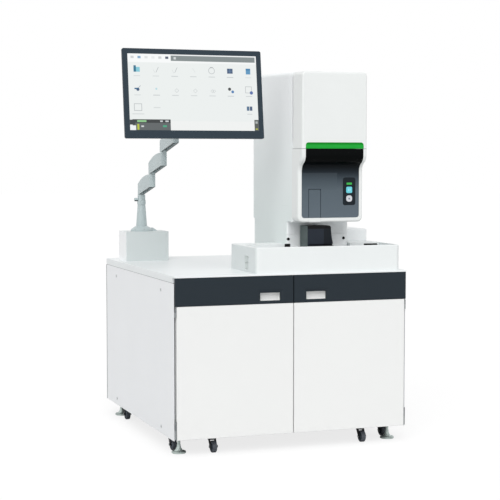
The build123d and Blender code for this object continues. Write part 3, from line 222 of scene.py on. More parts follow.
world = bpy.data.worlds.new("studio")
bpy.context.scene.world = world
world.use_nodes = True
sky_tree = world.node_tree
background = sky_tree.nodes["Background"]
path = sky_tree.nodes.new("ShaderNodeLightPath")
seen = sky_tree.nodes.new("ShaderNodeMath")
seen.operation = "MAXIMUM"
sky_tree.links.new(path.outputs["Is Camera Ray"], seen.inputs[0])
mirrored = sky_tree.nodes.new("ShaderNodeMath")
mirrored.operation = "MAXIMUM"
sky_tree.links.new(path.outputs["Is Glossy Ray"], mirrored.inputs[0])
sky_tree.links.new(path.outputs["Is Transmission Ray"], mirrored.inputs[1])
sky_tree.links.new(mirrored.outputs[0], seen.inputs[1])
level = sky_tree.nodes.new("ShaderNodeMapRange")
level.inputs["To Min"].default_value = sky_on_object
level.inputs["To Max"].default_value = sky_seen
sky_tree.links.new(seen.outputs[0], level.inputs["Value"])
sky_tree.links.new(level.outputs[0], background.inputs["Strength"])
background.inputs["Color"].default_value = (1, 1, 1, 1)
print("sky lights with", sky_on_object, "and is seen as", sky_seen)

# %% Sun
sun_towards = Vector((0.185, 0.365, -0.37))
sun_width = 50
sun_data = bpy.data.lights.new("soft_sun", "SUN")
sun_data.energy = math.pi * sun_towards.length
sun_data.angle = math.radians(sun_width)
sun = bpy.data.objects.new("soft_sun", sun_data)
sun.rotation_euler = sun_towards.to_track_quat("-Z", "Y").to_euler()
bpy.context.scene.collection.objects.link(sun)
print("sun strength", round(sun_data.energy, 2))

# %% Floor
floor_reach = 40.0
floor_depth = 0.0002
floor_own_light = 0.70
floor_glow = 1.14
floor_tone = 0.75

floor_mesh = bpy.data.meshes.new("studio_floor")
floor_sides = ((-1, -1), (1, -1), (1, 1), (-1, 1))
floor_corners = [(x * floor_reach, y * floor_reach, -floor_depth) for x, y in floor_sides]
floor_mesh.from_pydata(floor_corners, [], [(0, 1, 2, 3)])
floor = bpy.data.objects.new("studio_floor", floor_mesh)
bpy.context.scene.collection.objects.link(floor)
floor_finish = Finish("studio_white")
floor_finish.set(Base_Color=(floor_tone, floor_tone, floor_tone, 1))
floor_finish.set(Roughness=0.9, Specular_IOR_Level=0.0)
floor_path = floor_finish.node("ShaderNodeLightPath").outputs["Is Camera Ray"]
own_light = floor_finish.node(
    "ShaderNodeEmission", None, {"Color": (1, 1, 1, 1), "Strength": floor_glow}
)
own_part = Wire(floor_finish, floor_path) * floor_own_light
mixed = floor_finish.node("ShaderNodeMixShader", None, {0: own_part})
floor_finish.tree.links.new(floor_finish.shader.outputs[0], mixed.inputs[1])
floor_finish.tree.links.new(own_light.outputs[0], mixed.inputs[2])
surface = floor_finish.tree.nodes["Material Output"].inputs["Surface"]
floor_finish.tree.links.new(mixed.outputs[0], surface)
floor_mesh.materials.append(floor_finish.material)
print("floor", floor_reach * 2, "m wide")

# %% [markdown]
# ## Sheet metal with powder coat
#
# The side and rear panels, the frame and the sheet box under the arm are painted steel. Powder
# coat flows into a fine orange peel and never lies quite flat. A picture of paint could be wrapped
# round them, but noise in the object's own space has no seams and no end. The peel is a bump under
# a millimetre wide, and a slow second noise keeps large faces from looking like one flat colour.


# %% Powder coat
def powder_coat(name, colour, roughness=0.42, cloud=0.025):
    """Painted sheet metal with a fine orange peel and a faint cloudiness."""
    finish = Finish(name)
    slow = finish.noise(3.0, 3.0)
    darker = tuple(part * (1 - 2 * cloud) for part in colour[:3]) + (1.0,)
    finish.set(Base_Color=finish.blend(darker, colour, slow))
    finish.set(Roughness=finish.noise(40.0) * 0.1 + (roughness - 0.05))
    finish.bump(finish.noise(900.0, 1.0), 0.06 * MM)
    return finish


panel_paint = powder_coat("panel_powder_coat", shade(246, 248, 250))
fork_paint = powder_coat("fork_powder_coat", shade(22, 24, 26), 0.45)
frame_paint = powder_coat("frame_powder_coat", shade(142, 146, 148), 0.5)
base_paint = powder_coat("base_powder_coat", shade(86, 90, 93), 0.5)
print("powder coats:", 4)

# %% [markdown]
# ## Laminated board
#
# Worktop and doors are board under a hard white laminate. It is smoother than paint, with a very
# fine satin grain, and its edges are banded. The band has the same colour but a slightly duller
# shine, which the grain's roughness gives without a second piece.


# %% Laminate
def laminate(name, colour, roughness):
    """White laminate on board: a very fine satin grain and a faint cloudiness."""
    finish = Finish(name)
    slow = finish.noise(2.2, 3.0)
    shaded = tuple(part * 0.965 for part in colour[:3]) + (1.0,)
    finish.set(Base_Color=finish.blend(shaded, colour, slow))
    finish.set(Roughness=finish.noise(320.0) * 0.12 + (roughness - 0.06))
    finish.bump(finish.noise(1500.0, 1.0), 0.02 * MM)
    return finish


worktop_laminate = laminate("worktop_laminate", shade(239, 243, 244), 0.36)
door_laminate = laminate("door_laminate", shade(239, 240, 239), 0.34)
print("laminates:", 2)

# %% [markdown]
# ## Moulded plastic
#
# The tower, the sampler and the dark trims are injection moulded. A mould's wall is eroded by
# sparks, so its plastic has a grain of tiny pits rather than a polish. Noise squeezed by a ramp
# gives pits with flat land between them, and the same pits carry less shine.


# %% Moulded plastic
def moulded(name, colour, roughness, pit=0.05, cloud=0.03, shine=0.5):
    """Plastic from an eroded mould, with fine pits and a faint cloudiness."""
    finish = Finish(name)
    finish.set(Specular_IOR_Level=shine)
    slow = finish.noise(4.0, 3.0)
    shaded = tuple(part * (1 - 2 * cloud) for part in colour[:3]) + (1.0,)
    finish.set(Base_Color=finish.blend(shaded, colour, slow))
    pits = finish.noise(1100.0, 2.0).over(0.5, 0.3)
    finish.set(Roughness=roughness + 0.08 * (1 - pits))
    finish.bump(pits, pit * MM)
    return finish


dark_shine = 0.2
# the housing's colour is painted lighter than its plastic: painted light that evens out the shadow on
# the tower's side
housing_plastic = moulded("housing_plastic", shade(248, 251, 252), 0.45, cloud=0.01)
sampler_plastic = moulded("sampler_plastic", shade(237, 241, 241), 0.42)
fascia_plastic = moulded("fascia_plastic", shade(36, 45, 52), 0.42, shine=dark_shine)
dark_plastic = moulded("dark_plastic", shade(18, 27, 34), 0.4, shine=dark_shine)
black_plastic = moulded("black_plastic", shade(9, 10, 11), 0.4, shine=dark_shine)
bezel_plastic = moulded("bezel_plastic", shade(45, 58, 68), 0.38, shine=dark_shine)
switch_plastic = moulded("switch_plastic", shade(205, 213, 211), 0.4)
unit_plastic = moulded("unit_plastic", shade(205, 208, 209), 0.5)
print("plastics:", 8)

# %% [markdown]
# ## Seams and faces that differ in one piece
#
# A seam between two mouldings shows as a fine grey line, the shade in its gap, and here that
# line is painted shade, also where the gap is too narrow to see. Two seams matter here: one round
# the tower where the upper cover meets the front frame, and one round a service panel low on the
# tower's left side. Each could be a groove cut into the mesh. A line in colour alone, measured in
# the object's own space, does it without touching the form.

# %% Seam lines
# seam lines are painted shade of the gaps between mouldings
seam_shade_colour = shade(120, 126, 128)
cover_seam_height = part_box("front_frame")[1].z
cover_seam_width = 2.4 * MM
service_corner_y = -324 * MM
service_corner_z = 998 * MM
service_radius = 20 * MM
service_front_y = -385 * MM
service_seam_width = 1.8 * MM
line_softness = 0.6 * MM
cover_seam_strength = 0.8
service_seam_strength = 0.45
skin_depth = 1 * MM


def length(first, second):
    """The length of a line whose two legs are given."""
    squares = first * first + second * second
    return squares.maths("SQRT", squares)


def recolour(finish, colour, mask):
    """Lays another colour over what a finish already has."""
    under = finish.shader.inputs["Base Color"].links[0].from_socket
    finish.set(Base_Color=finish.blend(under, colour, mask))


front_plastic = moulded("front_plastic", shade(237, 240, 239), 0.3, 0.02)
seam_distance = (front_plastic.place()[2] - cover_seam_height).size()
# painted shade of the gap where the upper cover meets the front frame
cover_seam_shade = 1 - seam_distance.over(cover_seam_width / 2, line_softness)
recolour(front_plastic, seam_shade_colour, cover_seam_shade * cover_seam_strength)

tower_side_x, tower_side_y, tower_side_z = housing_plastic.place()
past_corner = length(
    (tower_side_y - service_corner_y).most(0.0), (tower_side_z - service_corner_z).most(0.0)
)
from_line = (past_corner - service_radius).size()
# painted shade of the service panel's gap on the tower's left side
service_seam_shade = 1 - from_line.over(service_seam_width / 2, line_softness)
service_seam_shade = service_seam_shade * tower_side_y.over(service_front_y, line_softness)
left_skin = 1 - tower_side_x.over(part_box("main_housing")[0].x + skin_depth, skin_depth)
recolour(housing_plastic, seam_shade_colour, service_seam_shade * left_skin * service_seam_strength)
print("cover seam at", round(cover_seam_height, 3), "m")

# %% [markdown]
# ## Two tones and painted shade in one piece
#
# The box under the arm is grey sheet with a white cover on its left side. The left flanks of
# sampler and tower are painted darker than their fronts, the tower's more towards its foot: painted
# shade. The station's left flank is painted lighter than its front. These are told apart by the way
# a surface faces, which no mask in space could do at a shared edge. Hinge knuckles and the side
# panels' rear edge are told apart by place: the knuckles get a steel grey that is also painted shade
# of the door gap, and the rear edge a grey strip of painted shade where it meets the rear panel. The
# studs' slots are lines, found like the seams, and painted dark as shade in the slots.


# %% Faces told apart by direction
left_limit = -0.7
left_softness = 0.2


def facing(finish, axis):
    """How far a surface looks along an axis of the object, from -1 to 1."""
    normal = finish.node("ShaderNodeNewGeometry").outputs["Normal"]
    return Wire(finish, finish.node("ShaderNodeSeparateXYZ", None, {0: normal}).outputs[axis])


def facing_left(finish):
    """A mask that is 1 on surfaces that look to the left."""
    return 1 - facing(finish, 0).over(left_limit, left_softness)


box_paint = powder_coat("box_powder_coat", shade(214, 221, 221), 0.38)
recolour(box_paint, shade(250, 252, 253), facing_left(box_paint))
# the sampler's left side is painted darker than its front: painted shade
recolour(sampler_plastic, shade(221, 227, 227), facing_left(sampler_plastic))

# the tower's left side is painted darker towards its foot: painted shade
tower_shade_height = 1.2
tower_shade_reach = 0.5
tower_low_shade = 1 - tower_side_z.over(tower_shade_height, tower_shade_reach)
recolour(housing_plastic, shade(231, 239, 238), facing_left(housing_plastic) * tower_low_shade)

station_split_x = 172 * MM
station_band_z = 922 * MM
station_plastic = moulded("station_plastic", shade(37, 44, 54), 0.4, shine=dark_shine)
station_x, _, station_z = station_plastic.place()
recolour(station_plastic, shade(18, 24, 31), station_x.between(station_split_x, 1.0, 1 * MM))
recolour(station_plastic, shade(8, 9, 11), station_z.over(station_band_z, 1 * MM))
recolour(station_plastic, shade(80, 93, 93), facing_left(station_plastic))
print("station split at", round(station_split_x, 3), "m")

# %% Places told apart by distance
knuckle_from_x = 510.3 * MM
knuckle_softness = 0.3 * MM
rear_edge_y = 557 * MM
rear_edge_softness = 1 * MM

# the hinge knuckles in the door gap are painted a dark steel grey, which is also painted shade of the
# gap
knuckle = door_laminate.place()[0].size().over(knuckle_from_x, knuckle_softness)
recolour(door_laminate, shade(118, 123, 125), knuckle)
# a grey strip along the side panels' rear edge is painted shade where they meet the rear panel
rear_edge = panel_paint.place()[1].over(rear_edge_y, rear_edge_softness)
recolour(panel_paint, shade(150, 155, 156), rear_edge)
print("knuckles from", round(knuckle_from_x, 4), "m")

# %% Stud slots
slot_width = 1.8 * MM
slot_length = 10 * MM
slot_softness = 0.3 * MM
stud_heights = (96 * MM, 673 * MM)
stud_distance_y = 372 * MM

stud_finish = Finish("quarter_turn_studs")
_, stud_y, stud_z = stud_finish.place()
to_slot = (stud_z - stud_heights[0]).size().least((stud_z - stud_heights[1]).size())
along_slot = (stud_y.size() - stud_distance_y).size()
in_slot = (1 - to_slot.over(slot_width / 2, slot_softness)) * (
    1 - along_slot.over(slot_length / 2, slot_softness)
)
stud_bloom = stud_finish.noise(120.0, 4.0)
stud_base = stud_finish.blend(shade(186, 189, 190), shade(214, 216, 217), stud_bloom)
# the slots are painted near black: painted shade in the slots, with a bump for their depth
stud_finish.set(Base_Color=stud_finish.blend(stud_base, shade(20, 21, 22), in_slot))
stud_finish.set(Metallic=1 - in_slot, Roughness=stud_bloom * 0.2 + 0.25)
stud_finish.bump(1 - in_slot, 0.6 * MM)
print("slots", round(slot_length / MM), "mm long")

# %% [markdown]
# ## The rear panel's screws
#
# Flat-headed screws lie flush in the rear panel, so they don't stand out of it. They are discs of
# bare metal with a cross, repeated by a triangle wave along the panel's top and bottom edges. The
# cross is painted near black: painted shade in its recess.

# %% Rear panel with flush screws
screw_pitch = 250 * MM
screw_rows = (84 * MM, 694 * MM)
screw_radius = 4 * MM
cross_width = 1.2 * MM
screw_softness = 0.3 * MM
cross_softness = 0.2 * MM

rear_paint = powder_coat("rear_powder_coat", shade(246, 248, 250))
rear_x, _, rear_z = rear_paint.place()
across_screw = rear_x.maths("PINGPONG", rear_x, screw_pitch / 2)
up_screw = (rear_z - screw_rows[0]).size().least((rear_z - screw_rows[1]).size())
screw_disc = 1 - length(across_screw, up_screw).over(screw_radius, screw_softness)
screw_cross_shade = screw_disc * (1 - across_screw.least(up_screw).over(cross_width / 2, cross_softness))
recolour(rear_paint, shade(160, 163, 165), screw_disc)
# the cross is painted near black: painted shade in its recess
recolour(rear_paint, shade(30, 31, 32), screw_cross_shade)
rear_paint.set(Metallic=screw_disc * 0.9)
print("screws every", round(screw_pitch / MM), "mm")

# %% [markdown]
# ## Bare metal
#
# The sampler's deck is brushed stainless sheet, and castors, studs and feet are zinc plated or
# satin steel. Brushing is noise stretched along one direction until it becomes streaks; plated
# steel shows a dull bloom instead. Both are fully metallic, so their colour is their reflection.


# %% Brushed and plated metal
def brushed(name, colour, roughness, along=(1.0, 60.0, 60.0)):
    """Metal brushed along X, with streaks in shine and height."""
    finish = Finish(name)
    streaks = finish.noise(30.0, 4.0, along)
    finish.set(Base_Color=colour, Metallic=1.0)
    finish.set(Roughness=streaks * 0.25 + (roughness - 0.12))
    finish.bump(streaks, 0.03 * MM)
    return finish


def plated(name, colour, roughness):
    """Plated steel with a cloudy bloom."""
    finish = Finish(name)
    bloom = finish.noise(120.0, 4.0)
    shaded = tuple(part * 0.7 for part in colour[:3]) + (1.0,)
    finish.set(Base_Color=finish.blend(shaded, colour, bloom), Metallic=1.0)
    finish.set(Roughness=bloom * 0.2 + (roughness - 0.1))
    return finish


deck_metal = brushed("brushed_deck", shade(205, 208, 209), 0.35)
plated_steel = plated("plated_steel", shade(150, 155, 157), 0.4)
stud_steel = plated("stud_steel", shade(176, 178, 180), 0.35)
foot_steel = plated("foot_steel", shade(214, 226, 222), 0.55)
print("metals:", 4)

# %% [markdown]
# ## Castor rubber, and plastic that lets light in
#
# The castors' tyres are grey rubber, dull and a little dusty. The diluent container is natural
# plastic, so light enters it and spreads: subsurface scattering does that without real depth.
# Container and cartridges get their caps' colour by height, because each is one piece with its cap.


# %% Rubber
rubber = Finish("castor_rubber")
dust = rubber.noise(180.0, 4.0)
rubber.set(Base_Color=rubber.blend(shade(58, 62, 69), shade(88, 93, 101), dust.over(0.55, 0.5)))
rubber.set(Roughness=dust * 0.2 + 0.55)
rubber.bump(dust, 0.15 * MM)
print("rubber done")

# %% Container and cartridges, with caps of another colour
cap_edge = 0.5 * MM


def capped(name, body_colour, cap_colour, cap_height):
    """Soft translucent plastic below a height, and a cap's colour above it."""
    finish = Finish(name)
    cap = finish.place()[2].over(cap_height, cap_edge)
    finish.set(Base_Color=finish.blend(body_colour, cap_colour, cap))
    finish.set(Roughness=finish.noise(300.0) * 0.1 + 0.35)
    finish.set(Subsurface_Weight=0.25, Subsurface_Scale=8 * MM)
    finish.bump(finish.noise(700.0), 0.03 * MM)
    return finish


container_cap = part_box("diluent_container")[1].z - 22 * MM
container_plastic = capped("container_plastic", shade(226, 228, 224), shade(40, 92, 150), container_cap)
cartridge_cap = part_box("reagent_cartridges")[1].z - 14 * MM
cartridge_plastic = capped("cartridge_plastic", shade(222, 226, 228), shade(52, 120, 74), cartridge_cap)
print("caps from", round(container_cap, 3), "and", round(cartridge_cap, 3), "m up")

# %% [markdown]
# ## The arm's painted castings
#
# Post and links are aluminium castings under a pale grey paint, with a dark liner in the hollow
# under each link. The liner could be four more pieces. It lies on faces that look down, and here
# every face that looks down is painted dark: the liner in the hollow, and painted shade on the
# other undersides. The surface's own upright direction picks the colour.

# %% Arm paint
underside_slope = -0.25
underside_softness = 0.06

arm_paint = Finish("arm_paint")
not_dark_underside = facing(arm_paint, 2).over(underside_slope, underside_softness)
cast_colour = arm_paint.blend(shade(180, 193, 195), shade(194, 207, 208), arm_paint.noise(6.0, 3.0))
# faces looking down are painted dark: the liner, and painted shade on the other undersides
arm_paint.set(Base_Color=arm_paint.blend(shade(52, 62, 64), cast_colour, not_dark_underside))
arm_paint.set(Roughness=arm_paint.noise(60.0) * 0.1 + 0.27)
arm_paint.bump(arm_paint.noise(800.0), 0.05 * MM)
print("arm paint done")

# %% [markdown]
# ## The dark window of the tower
#
# The window is one moulding of dark glossy plastic that bends inwards in an S. Its upper, outward
# part is nearly black, and below the bend the studio's floor lightens it to slate. The shader's own
# reflection is kept weak, and a ramp over the height paints both: painted shade near black at the
# top, and a painted reflection of the floor lower down. A square a shade lighter is a painted sheen.

# %% Dark window
window_low, window_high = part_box("front_panel")
sheen_left = 62 * MM
sheen_right = 224 * MM
sheen_low = 1087 * MM
sheen_high = 1160 * MM
sheen_edge = 2 * MM
sheen_strength = 0.3
window_shine = 0.06


def smoked(name):
    """Dark glossy plastic with painted shade and reflection by height, and a painted sheen in a square.
    """
    finish = Finish(name)
    x, _, z = finish.place()
    share = (z - window_low.z) / (window_high.z - window_low.z)
    # the ramp paints shade near black at the top and the floor's reflection lower down
    shade_and_reflection_ramp = finish.node(
        "ShaderNodeValToRGB",
        None,
        {0: share},
        [
            (0.0, shade(98, 109, 118)),
            (0.40, shade(90, 101, 109)),
            (0.55, shade(68, 78, 86)),
            (0.66, shade(38, 45, 51)),
            (0.74, shade(18, 22, 25)),
            (0.80, shade(2, 4, 4)),
            (1.0, shade(4, 6, 7)),
        ],
    )
    # a painted sheen lightens a square
    square = x.between(sheen_left, sheen_right, sheen_edge)
    square = square * z.between(sheen_low, sheen_high, sheen_edge)
    lighter = finish.blend(shade_and_reflection_ramp.outputs[0], shade(84, 94, 101), square * sheen_strength)
    finish.set(Specular_IOR_Level=window_shine)
    finish.set(Base_Color=lighter, Roughness=finish.noise(500.0) * 0.08 + 0.24)
    finish.bump(finish.noise(900.0), 0.02 * MM)
    return finish


window_plastic = smoked("window_plastic")
door_low, door_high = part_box("tube_holder")
gap_shade_width = 2.6 * MM
gap_shade_softness = 1 * MM
window_x, _, window_z = window_plastic.place()
beside = window_x.between(door_low.x - gap_shade_width, door_high.x + gap_shade_width, gap_shade_softness)
below = 1 - window_z.over(door_high.z + gap_shade_width, gap_shade_softness)
# a band round the tube door is painted darker: painted shade of the door's gap
recolour(window_plastic, shade(44, 53, 61), beside * below)
print("window from", round(window_low.z, 3), "to", round(window_high.z, 3), "m")

# %% [markdown]
# ## The tube door
#
# The door slides out with the tray behind it. Its upper part belongs to the dark window, with the
# same painted shade and reflection, and its foot carries the white surround across, so one piece
# needs both colours. A step over the height, at the window's lower edge, divides them. The foot is
# painted darker towards its bottom edge: painted shade.

# %% Tube door
door_foot = window_low.z
foot_step = 0.4 * MM
foot_rise = 4 * MM
foot_fade = 6 * MM
door_plastic = smoked("tube_door_plastic")
door_z = door_plastic.place()[2]
# the foot is painted darker towards its bottom edge: painted shade
foot_white_with_shade = door_plastic.blend(
    shade(206, 210, 210), shade(234, 237, 236), door_z.over(door_low.z + foot_rise, foot_fade)
)
recolour(door_plastic, foot_white_with_shade, 1 - door_z.over(door_foot, foot_step))
print("door foot ends at", round(door_foot, 3), "m")

# %% [markdown]
# ## Light bar, buttons and lamp
#
# These are clear plastic with light behind it. A lit surface in a bright studio hardly glows: it
# keeps its colour where a painted one would fall into shade. So each has its own colour and a
# weak emission of the same colour, rather than a lamp's strength.


# %% Lit plastic
def lit(name, colour, glow, strength, roughness=0.22):
    """Clear coloured plastic with a weak light of its own."""
    finish = Finish(name)
    depth = finish.noise(25.0, 2.0)
    deeper = tuple(part * 0.82 for part in colour[:3]) + (1.0,)
    finish.set(Base_Color=finish.blend(deeper, colour, depth))
    finish.set(Emission_Color=glow, Emission_Strength=strength)
    finish.set(Roughness=finish.noise(400.0) * 0.06 + (roughness - 0.03))
    return finish


bar_green = lit("light_bar_green", shade(34, 166, 58), shade(30, 170, 60), 0.05)
bar_shade_depth = 9 * MM
bar_shade_softness = 2 * MM
bar_top = bar_green.place()[2].over(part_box("light_bar")[1].z - bar_shade_depth, bar_shade_softness)
recolour(bar_green, shade(16, 132, 34), bar_top)
bar_green.set(Specular_IOR_Level=0.1)
lamp_green = lit("lamp_green", shade(50, 176, 70), shade(50, 190, 75), 0.1)
button_cyan = lit("button_cyan", shade(104, 206, 220), shade(110, 215, 228), 0.12)
button_white = lit("button_white", shade(214, 216, 222), shade(220, 223, 230), 0.05)
mark_pale = lit("mark_pale", shade(170, 230, 240), shade(170, 235, 245), 0.1)
mark_grey = moulded("mark_grey", shade(118, 122, 138), 0.4)
print("lit plastics:", 5)

# %% [markdown]
# ## The screen
#
# The screen shows a plain desktop of generic icons: a grey title bar, three rows of small pictures
# with a line of grey under each, and a dark status panel in one corner. Its image could be a
# picture file. Rectangles added up from the screen's own coordinates stay sharp at any distance,
# follow the tilt, and can be moved by changing one number.

# %% Screen coordinates
screen_low, screen_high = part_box("monitor_screen")
screen_width = screen_high.x - screen_low.x
screen_rise = screen_high.z - screen_low.z
screen_tilt = math.radians(7.4)
screen_aspect = screen_width / (screen_rise / math.cos(screen_tilt))

# across and down are shares of the screen's width from the left and of its height from the top
display = Finish("screen_image")
screen_x, _, screen_z = display.place()
across = (screen_x - screen_low.x) / screen_width
down = (screen_high.z - screen_z) / screen_rise
print("screen aspect", round(screen_aspect, 2))

# %% Screen image
pixel = 0.0022
outline_share = 0.004


def area(left, right, top, bottom):
    """A mask that is 1 inside a rectangle of the screen."""
    return across.between(left, right, pixel) * down.between(top, bottom, pixel * screen_aspect)


def frame_line(left, right, top, bottom):
    """A mask of a rectangle's outline."""
    line, tall_line = outline_share, outline_share * screen_aspect
    inner = area(left + line, right - line, top + tall_line, bottom - tall_line)
    return (area(left, right, top, bottom) - inner).most(0.0)


image = shade(236, 240, 239)
desktop = [
    # title bar, tool strip and status panels
    (area(0.0, 0.33, 0.0, 0.11), shade(248, 250, 250), 1.0),
    (area(0.33, 1.0, 0.0, 0.11), shade(246, 248, 248), 1.0),
    (area(0.0, 1.0, 0.875, 1.0), shade(240, 242, 241), 1.0),
    (area(0.33, 0.99, 0.015, 0.085), shade(128, 137, 138), 1.0),
    (area(0.352, 0.37, 0.035, 0.065), shade(226, 230, 230), 0.8),
    (area(0.02, 0.31, 0.855, 1.0), shade(88, 94, 96), 1.0),
    (area(0.02, 0.31, 0.855, 0.90), shade(42, 48, 50), 1.0),
    (area(0.055, 0.125, 0.865, 0.89), shade(140, 200, 138), 1.0),
    (area(0.0, 0.045, 0.935, 1.0), shade(240, 243, 245), 1.0),
    (area(0.0, 0.04, 0.86, 0.925), shade(40, 46, 52), 1.0),
    (area(0.055, 0.07, 0.915, 0.99), shade(186, 196, 46), 1.0),
    (area(0.085, 0.105, 0.935, 0.955), shade(230, 235, 235), 0.8),
    (area(0.25, 0.28, 0.93, 0.955), shade(60, 170, 130), 0.9),
    (area(0.23, 0.25, 0.868, 0.888), shade(225, 230, 232), 0.8),
    (area(0.27, 0.295, 0.868, 0.888), shade(225, 230, 232), 0.8),
    (area(0.967, 1.0, 0.85, 1.0), shade(80, 86, 80), 1.0),
    (area(0.975, 0.993, 0.87, 0.90), shade(190, 196, 196), 0.8),
    (area(0.975, 0.993, 0.965, 0.98), shade(196, 202, 60), 0.9),
]
print("panels", len(desktop))

# %% Shapes for icons
icon_line = 0.0035


def from_centre(u, v):
    """How far a point lies right of and below a spot, both as shares of the width."""
    return across - u, (down - v) / screen_aspect


def dot(u, v, radius):
    """A mask of a filled circle."""
    right, below = from_centre(u, v)
    return 1 - length(right, below).over(radius, pixel)


def ring(u, v, radius):
    """A mask of a circle's line."""
    right, below = from_centre(u, v)
    return 1 - (length(right, below) - radius).size().over(icon_line / 2, pixel)


def stroke(u, v, reach, lean):
    """A mask of a short slanting line."""
    right, below = from_centre(u, v)
    line = 1 - (right + below * lean).size().over(icon_line / 2, pixel)
    return line * (1 - below.size().over(reach, pixel))


def diamond(u, v, radius):
    """A mask of a diamond's line."""
    right, below = from_centre(u, v)
    return 1 - (right.size() + below.size() - radius).size().over(icon_line / 2, pixel)


def block(u, v, half_width, half_height):
    """A mask of a rectangle round a spot, with its height measured as its width is."""
    tall = half_height * screen_aspect
    return area(u - half_width, u + half_width, v - tall, v + tall)


print("icon shapes ready")

# %% Screen icons
columns = [0.066 + 0.1445 * number for number in range(7)]
rows = (0.205, 0.455, 0.70)
icon_grey = shade(150, 156, 160)
icon_navy = shade(22, 66, 110)
icon_blue = shade(64, 140, 186)
icon_teal = shade(110, 196, 214)

desktop += [
    # first row: folder, two pens, a faint tool, a ring, a grid and a jar
    (block(columns[0], rows[0], 0.024, 0.018), icon_teal, 0.9),
    (block(columns[0] - 0.014, rows[0] - 0.01, 0.009, 0.024), shade(30, 110, 140), 1.0),
    (stroke(columns[1] + 0.012, rows[0], 0.02, 0.5), icon_grey, 0.9),
    (stroke(columns[1] - 0.012, rows[0] + 0.02, 0.012, -0.5), icon_grey, 0.35),
    (stroke(columns[2] + 0.012, rows[0], 0.02, 0.5), icon_grey, 0.9),
    (stroke(columns[2] - 0.012, rows[0] + 0.02, 0.012, -0.5), icon_grey, 0.35),
    (stroke(columns[3] + 0.006, rows[0], 0.016, -0.6), icon_grey, 0.3),
    (ring(columns[4], rows[0], 0.023), icon_grey, 0.85),
    (block(columns[4], rows[0] - 0.045, 0.012, 0.002), icon_grey, 0.85),
    (block(columns[5], rows[0], 0.022, 0.019), icon_navy, 0.95),
    (block(columns[5], rows[0], 0.0015, 0.019), shade(120, 160, 196), 0.8),
    (block(columns[5], rows[0], 0.022, 0.0012), shade(120, 160, 196), 0.5),
    (block(columns[6], rows[0], 0.018, 0.022), icon_blue, 0.95),
    (block(columns[6], rows[0] - 0.025, 0.018, 0.006), shade(44, 120, 168), 0.9),
    # second row: an arrow, a faint sign, three diamonds, two dots and a note
    (dot(columns[0] + 0.004, rows[1] + 0.01, 0.012), icon_navy, 0.95),
    (stroke(columns[0] + 0.012, rows[1] - 0.015, 0.014, 0.9), icon_navy, 1.0),
    (block(columns[0] - 0.008, rows[1], 0.014, 0.005), shade(26, 92, 134), 1.0),
    (dot(columns[1], rows[1], 0.008), icon_teal, 0.5),
    (diamond(columns[2] + 0.012, rows[1] + 0.02, 0.015), icon_grey, 0.6),
    (diamond(columns[3] + 0.012, rows[1] + 0.02, 0.015), icon_grey, 0.6),
    (diamond(columns[4], rows[1] + 0.02, 0.012), icon_grey, 0.55),
    (diamond(columns[4] + 0.014, rows[1] + 0.02, 0.012), icon_grey, 0.55),
    (dot(columns[5] - 0.008, rows[1] - 0.01, 0.012), shade(24, 30, 32), 0.95),
    (dot(columns[5] + 0.016, rows[1] + 0.025, 0.011), shade(52, 116, 176), 0.95),
    (frame_line(columns[6] - 0.028, columns[6] + 0.024, rows[1] - 0.05, rows[1] + 0.04), icon_grey, 0.7),
    (dot(columns[6] + 0.02, rows[1] + 0.035, 0.013), shade(62, 96, 166), 0.95),
    # third row: an empty frame, a faint line and a pair of blocks
    (frame_line(columns[0] - 0.03, columns[0] + 0.03, rows[2] - 0.05, rows[2] + 0.045), icon_grey, 0.8),
    (block(columns[1], rows[2], 0.026, 0.004), icon_grey, 0.3),
    (block(columns[6] - 0.012, rows[2], 0.010, 0.016), shade(52, 96, 134), 0.95),
    (block(columns[6] + 0.012, rows[2], 0.010, 0.016), icon_navy, 0.95),
]
print("icons", len(columns) * 2 + 3)

# %% Screen labels and tool strip
label_grey = shade(140, 148, 154)
label_drop = 0.083
label_half = 0.003
label_strengths = ((0.3, 0.3, 0.45, 0.4, 0.4, 0.5, 0.25), (0.3, 0.5, 0.4, 0.35, 0.35, 0.45, 0.4))
tool_start = 0.035
tool_pitch = 0.053
tools = (
    (icon_grey, 0.5),
    (icon_blue, 0.8),
    (icon_grey, 0.3),
    (icon_grey, 0.2),
    (icon_grey, 0.5),
    (shade(36, 60, 92), 0.95),
)

for row, strengths in zip(rows, label_strengths):
    for column, strength in zip(columns, strengths):
        label = block(column, row + label_drop, 0.022 + 0.008 * strength, label_half)
        desktop.append((label, label_grey, strength))
desktop.append((block(columns[0], rows[2] + 0.085, 0.045, label_half), label_grey, 0.35))
desktop.append((block(columns[6], rows[2] + 0.075, 0.02, label_half), label_grey, 0.4))
for number, (colour, strength) in enumerate(tools):
    desktop.append((block(tool_start + tool_pitch * number, 0.045, 0.012, 0.009), colour, strength))
for mask, colour, strength in desktop:
    image = display.blend(image, colour, mask * strength)
display.set(Base_Color=(0.03, 0.03, 0.03, 1), Specular_IOR_Level=dark_shine, Roughness=0.35)
display.set(Emission_Color=image, Emission_Strength=0.95)
display.bump(display.noise(2500.0), 0.005 * MM)
print("marks on the screen:", len(desktop))

# %% [markdown]
# ## Dressing the solids
#
# Every solid of the frame now gets its finish. A table from finish to the names of its pieces says
# it in one look, where one call for each piece would hide which of them share a material.

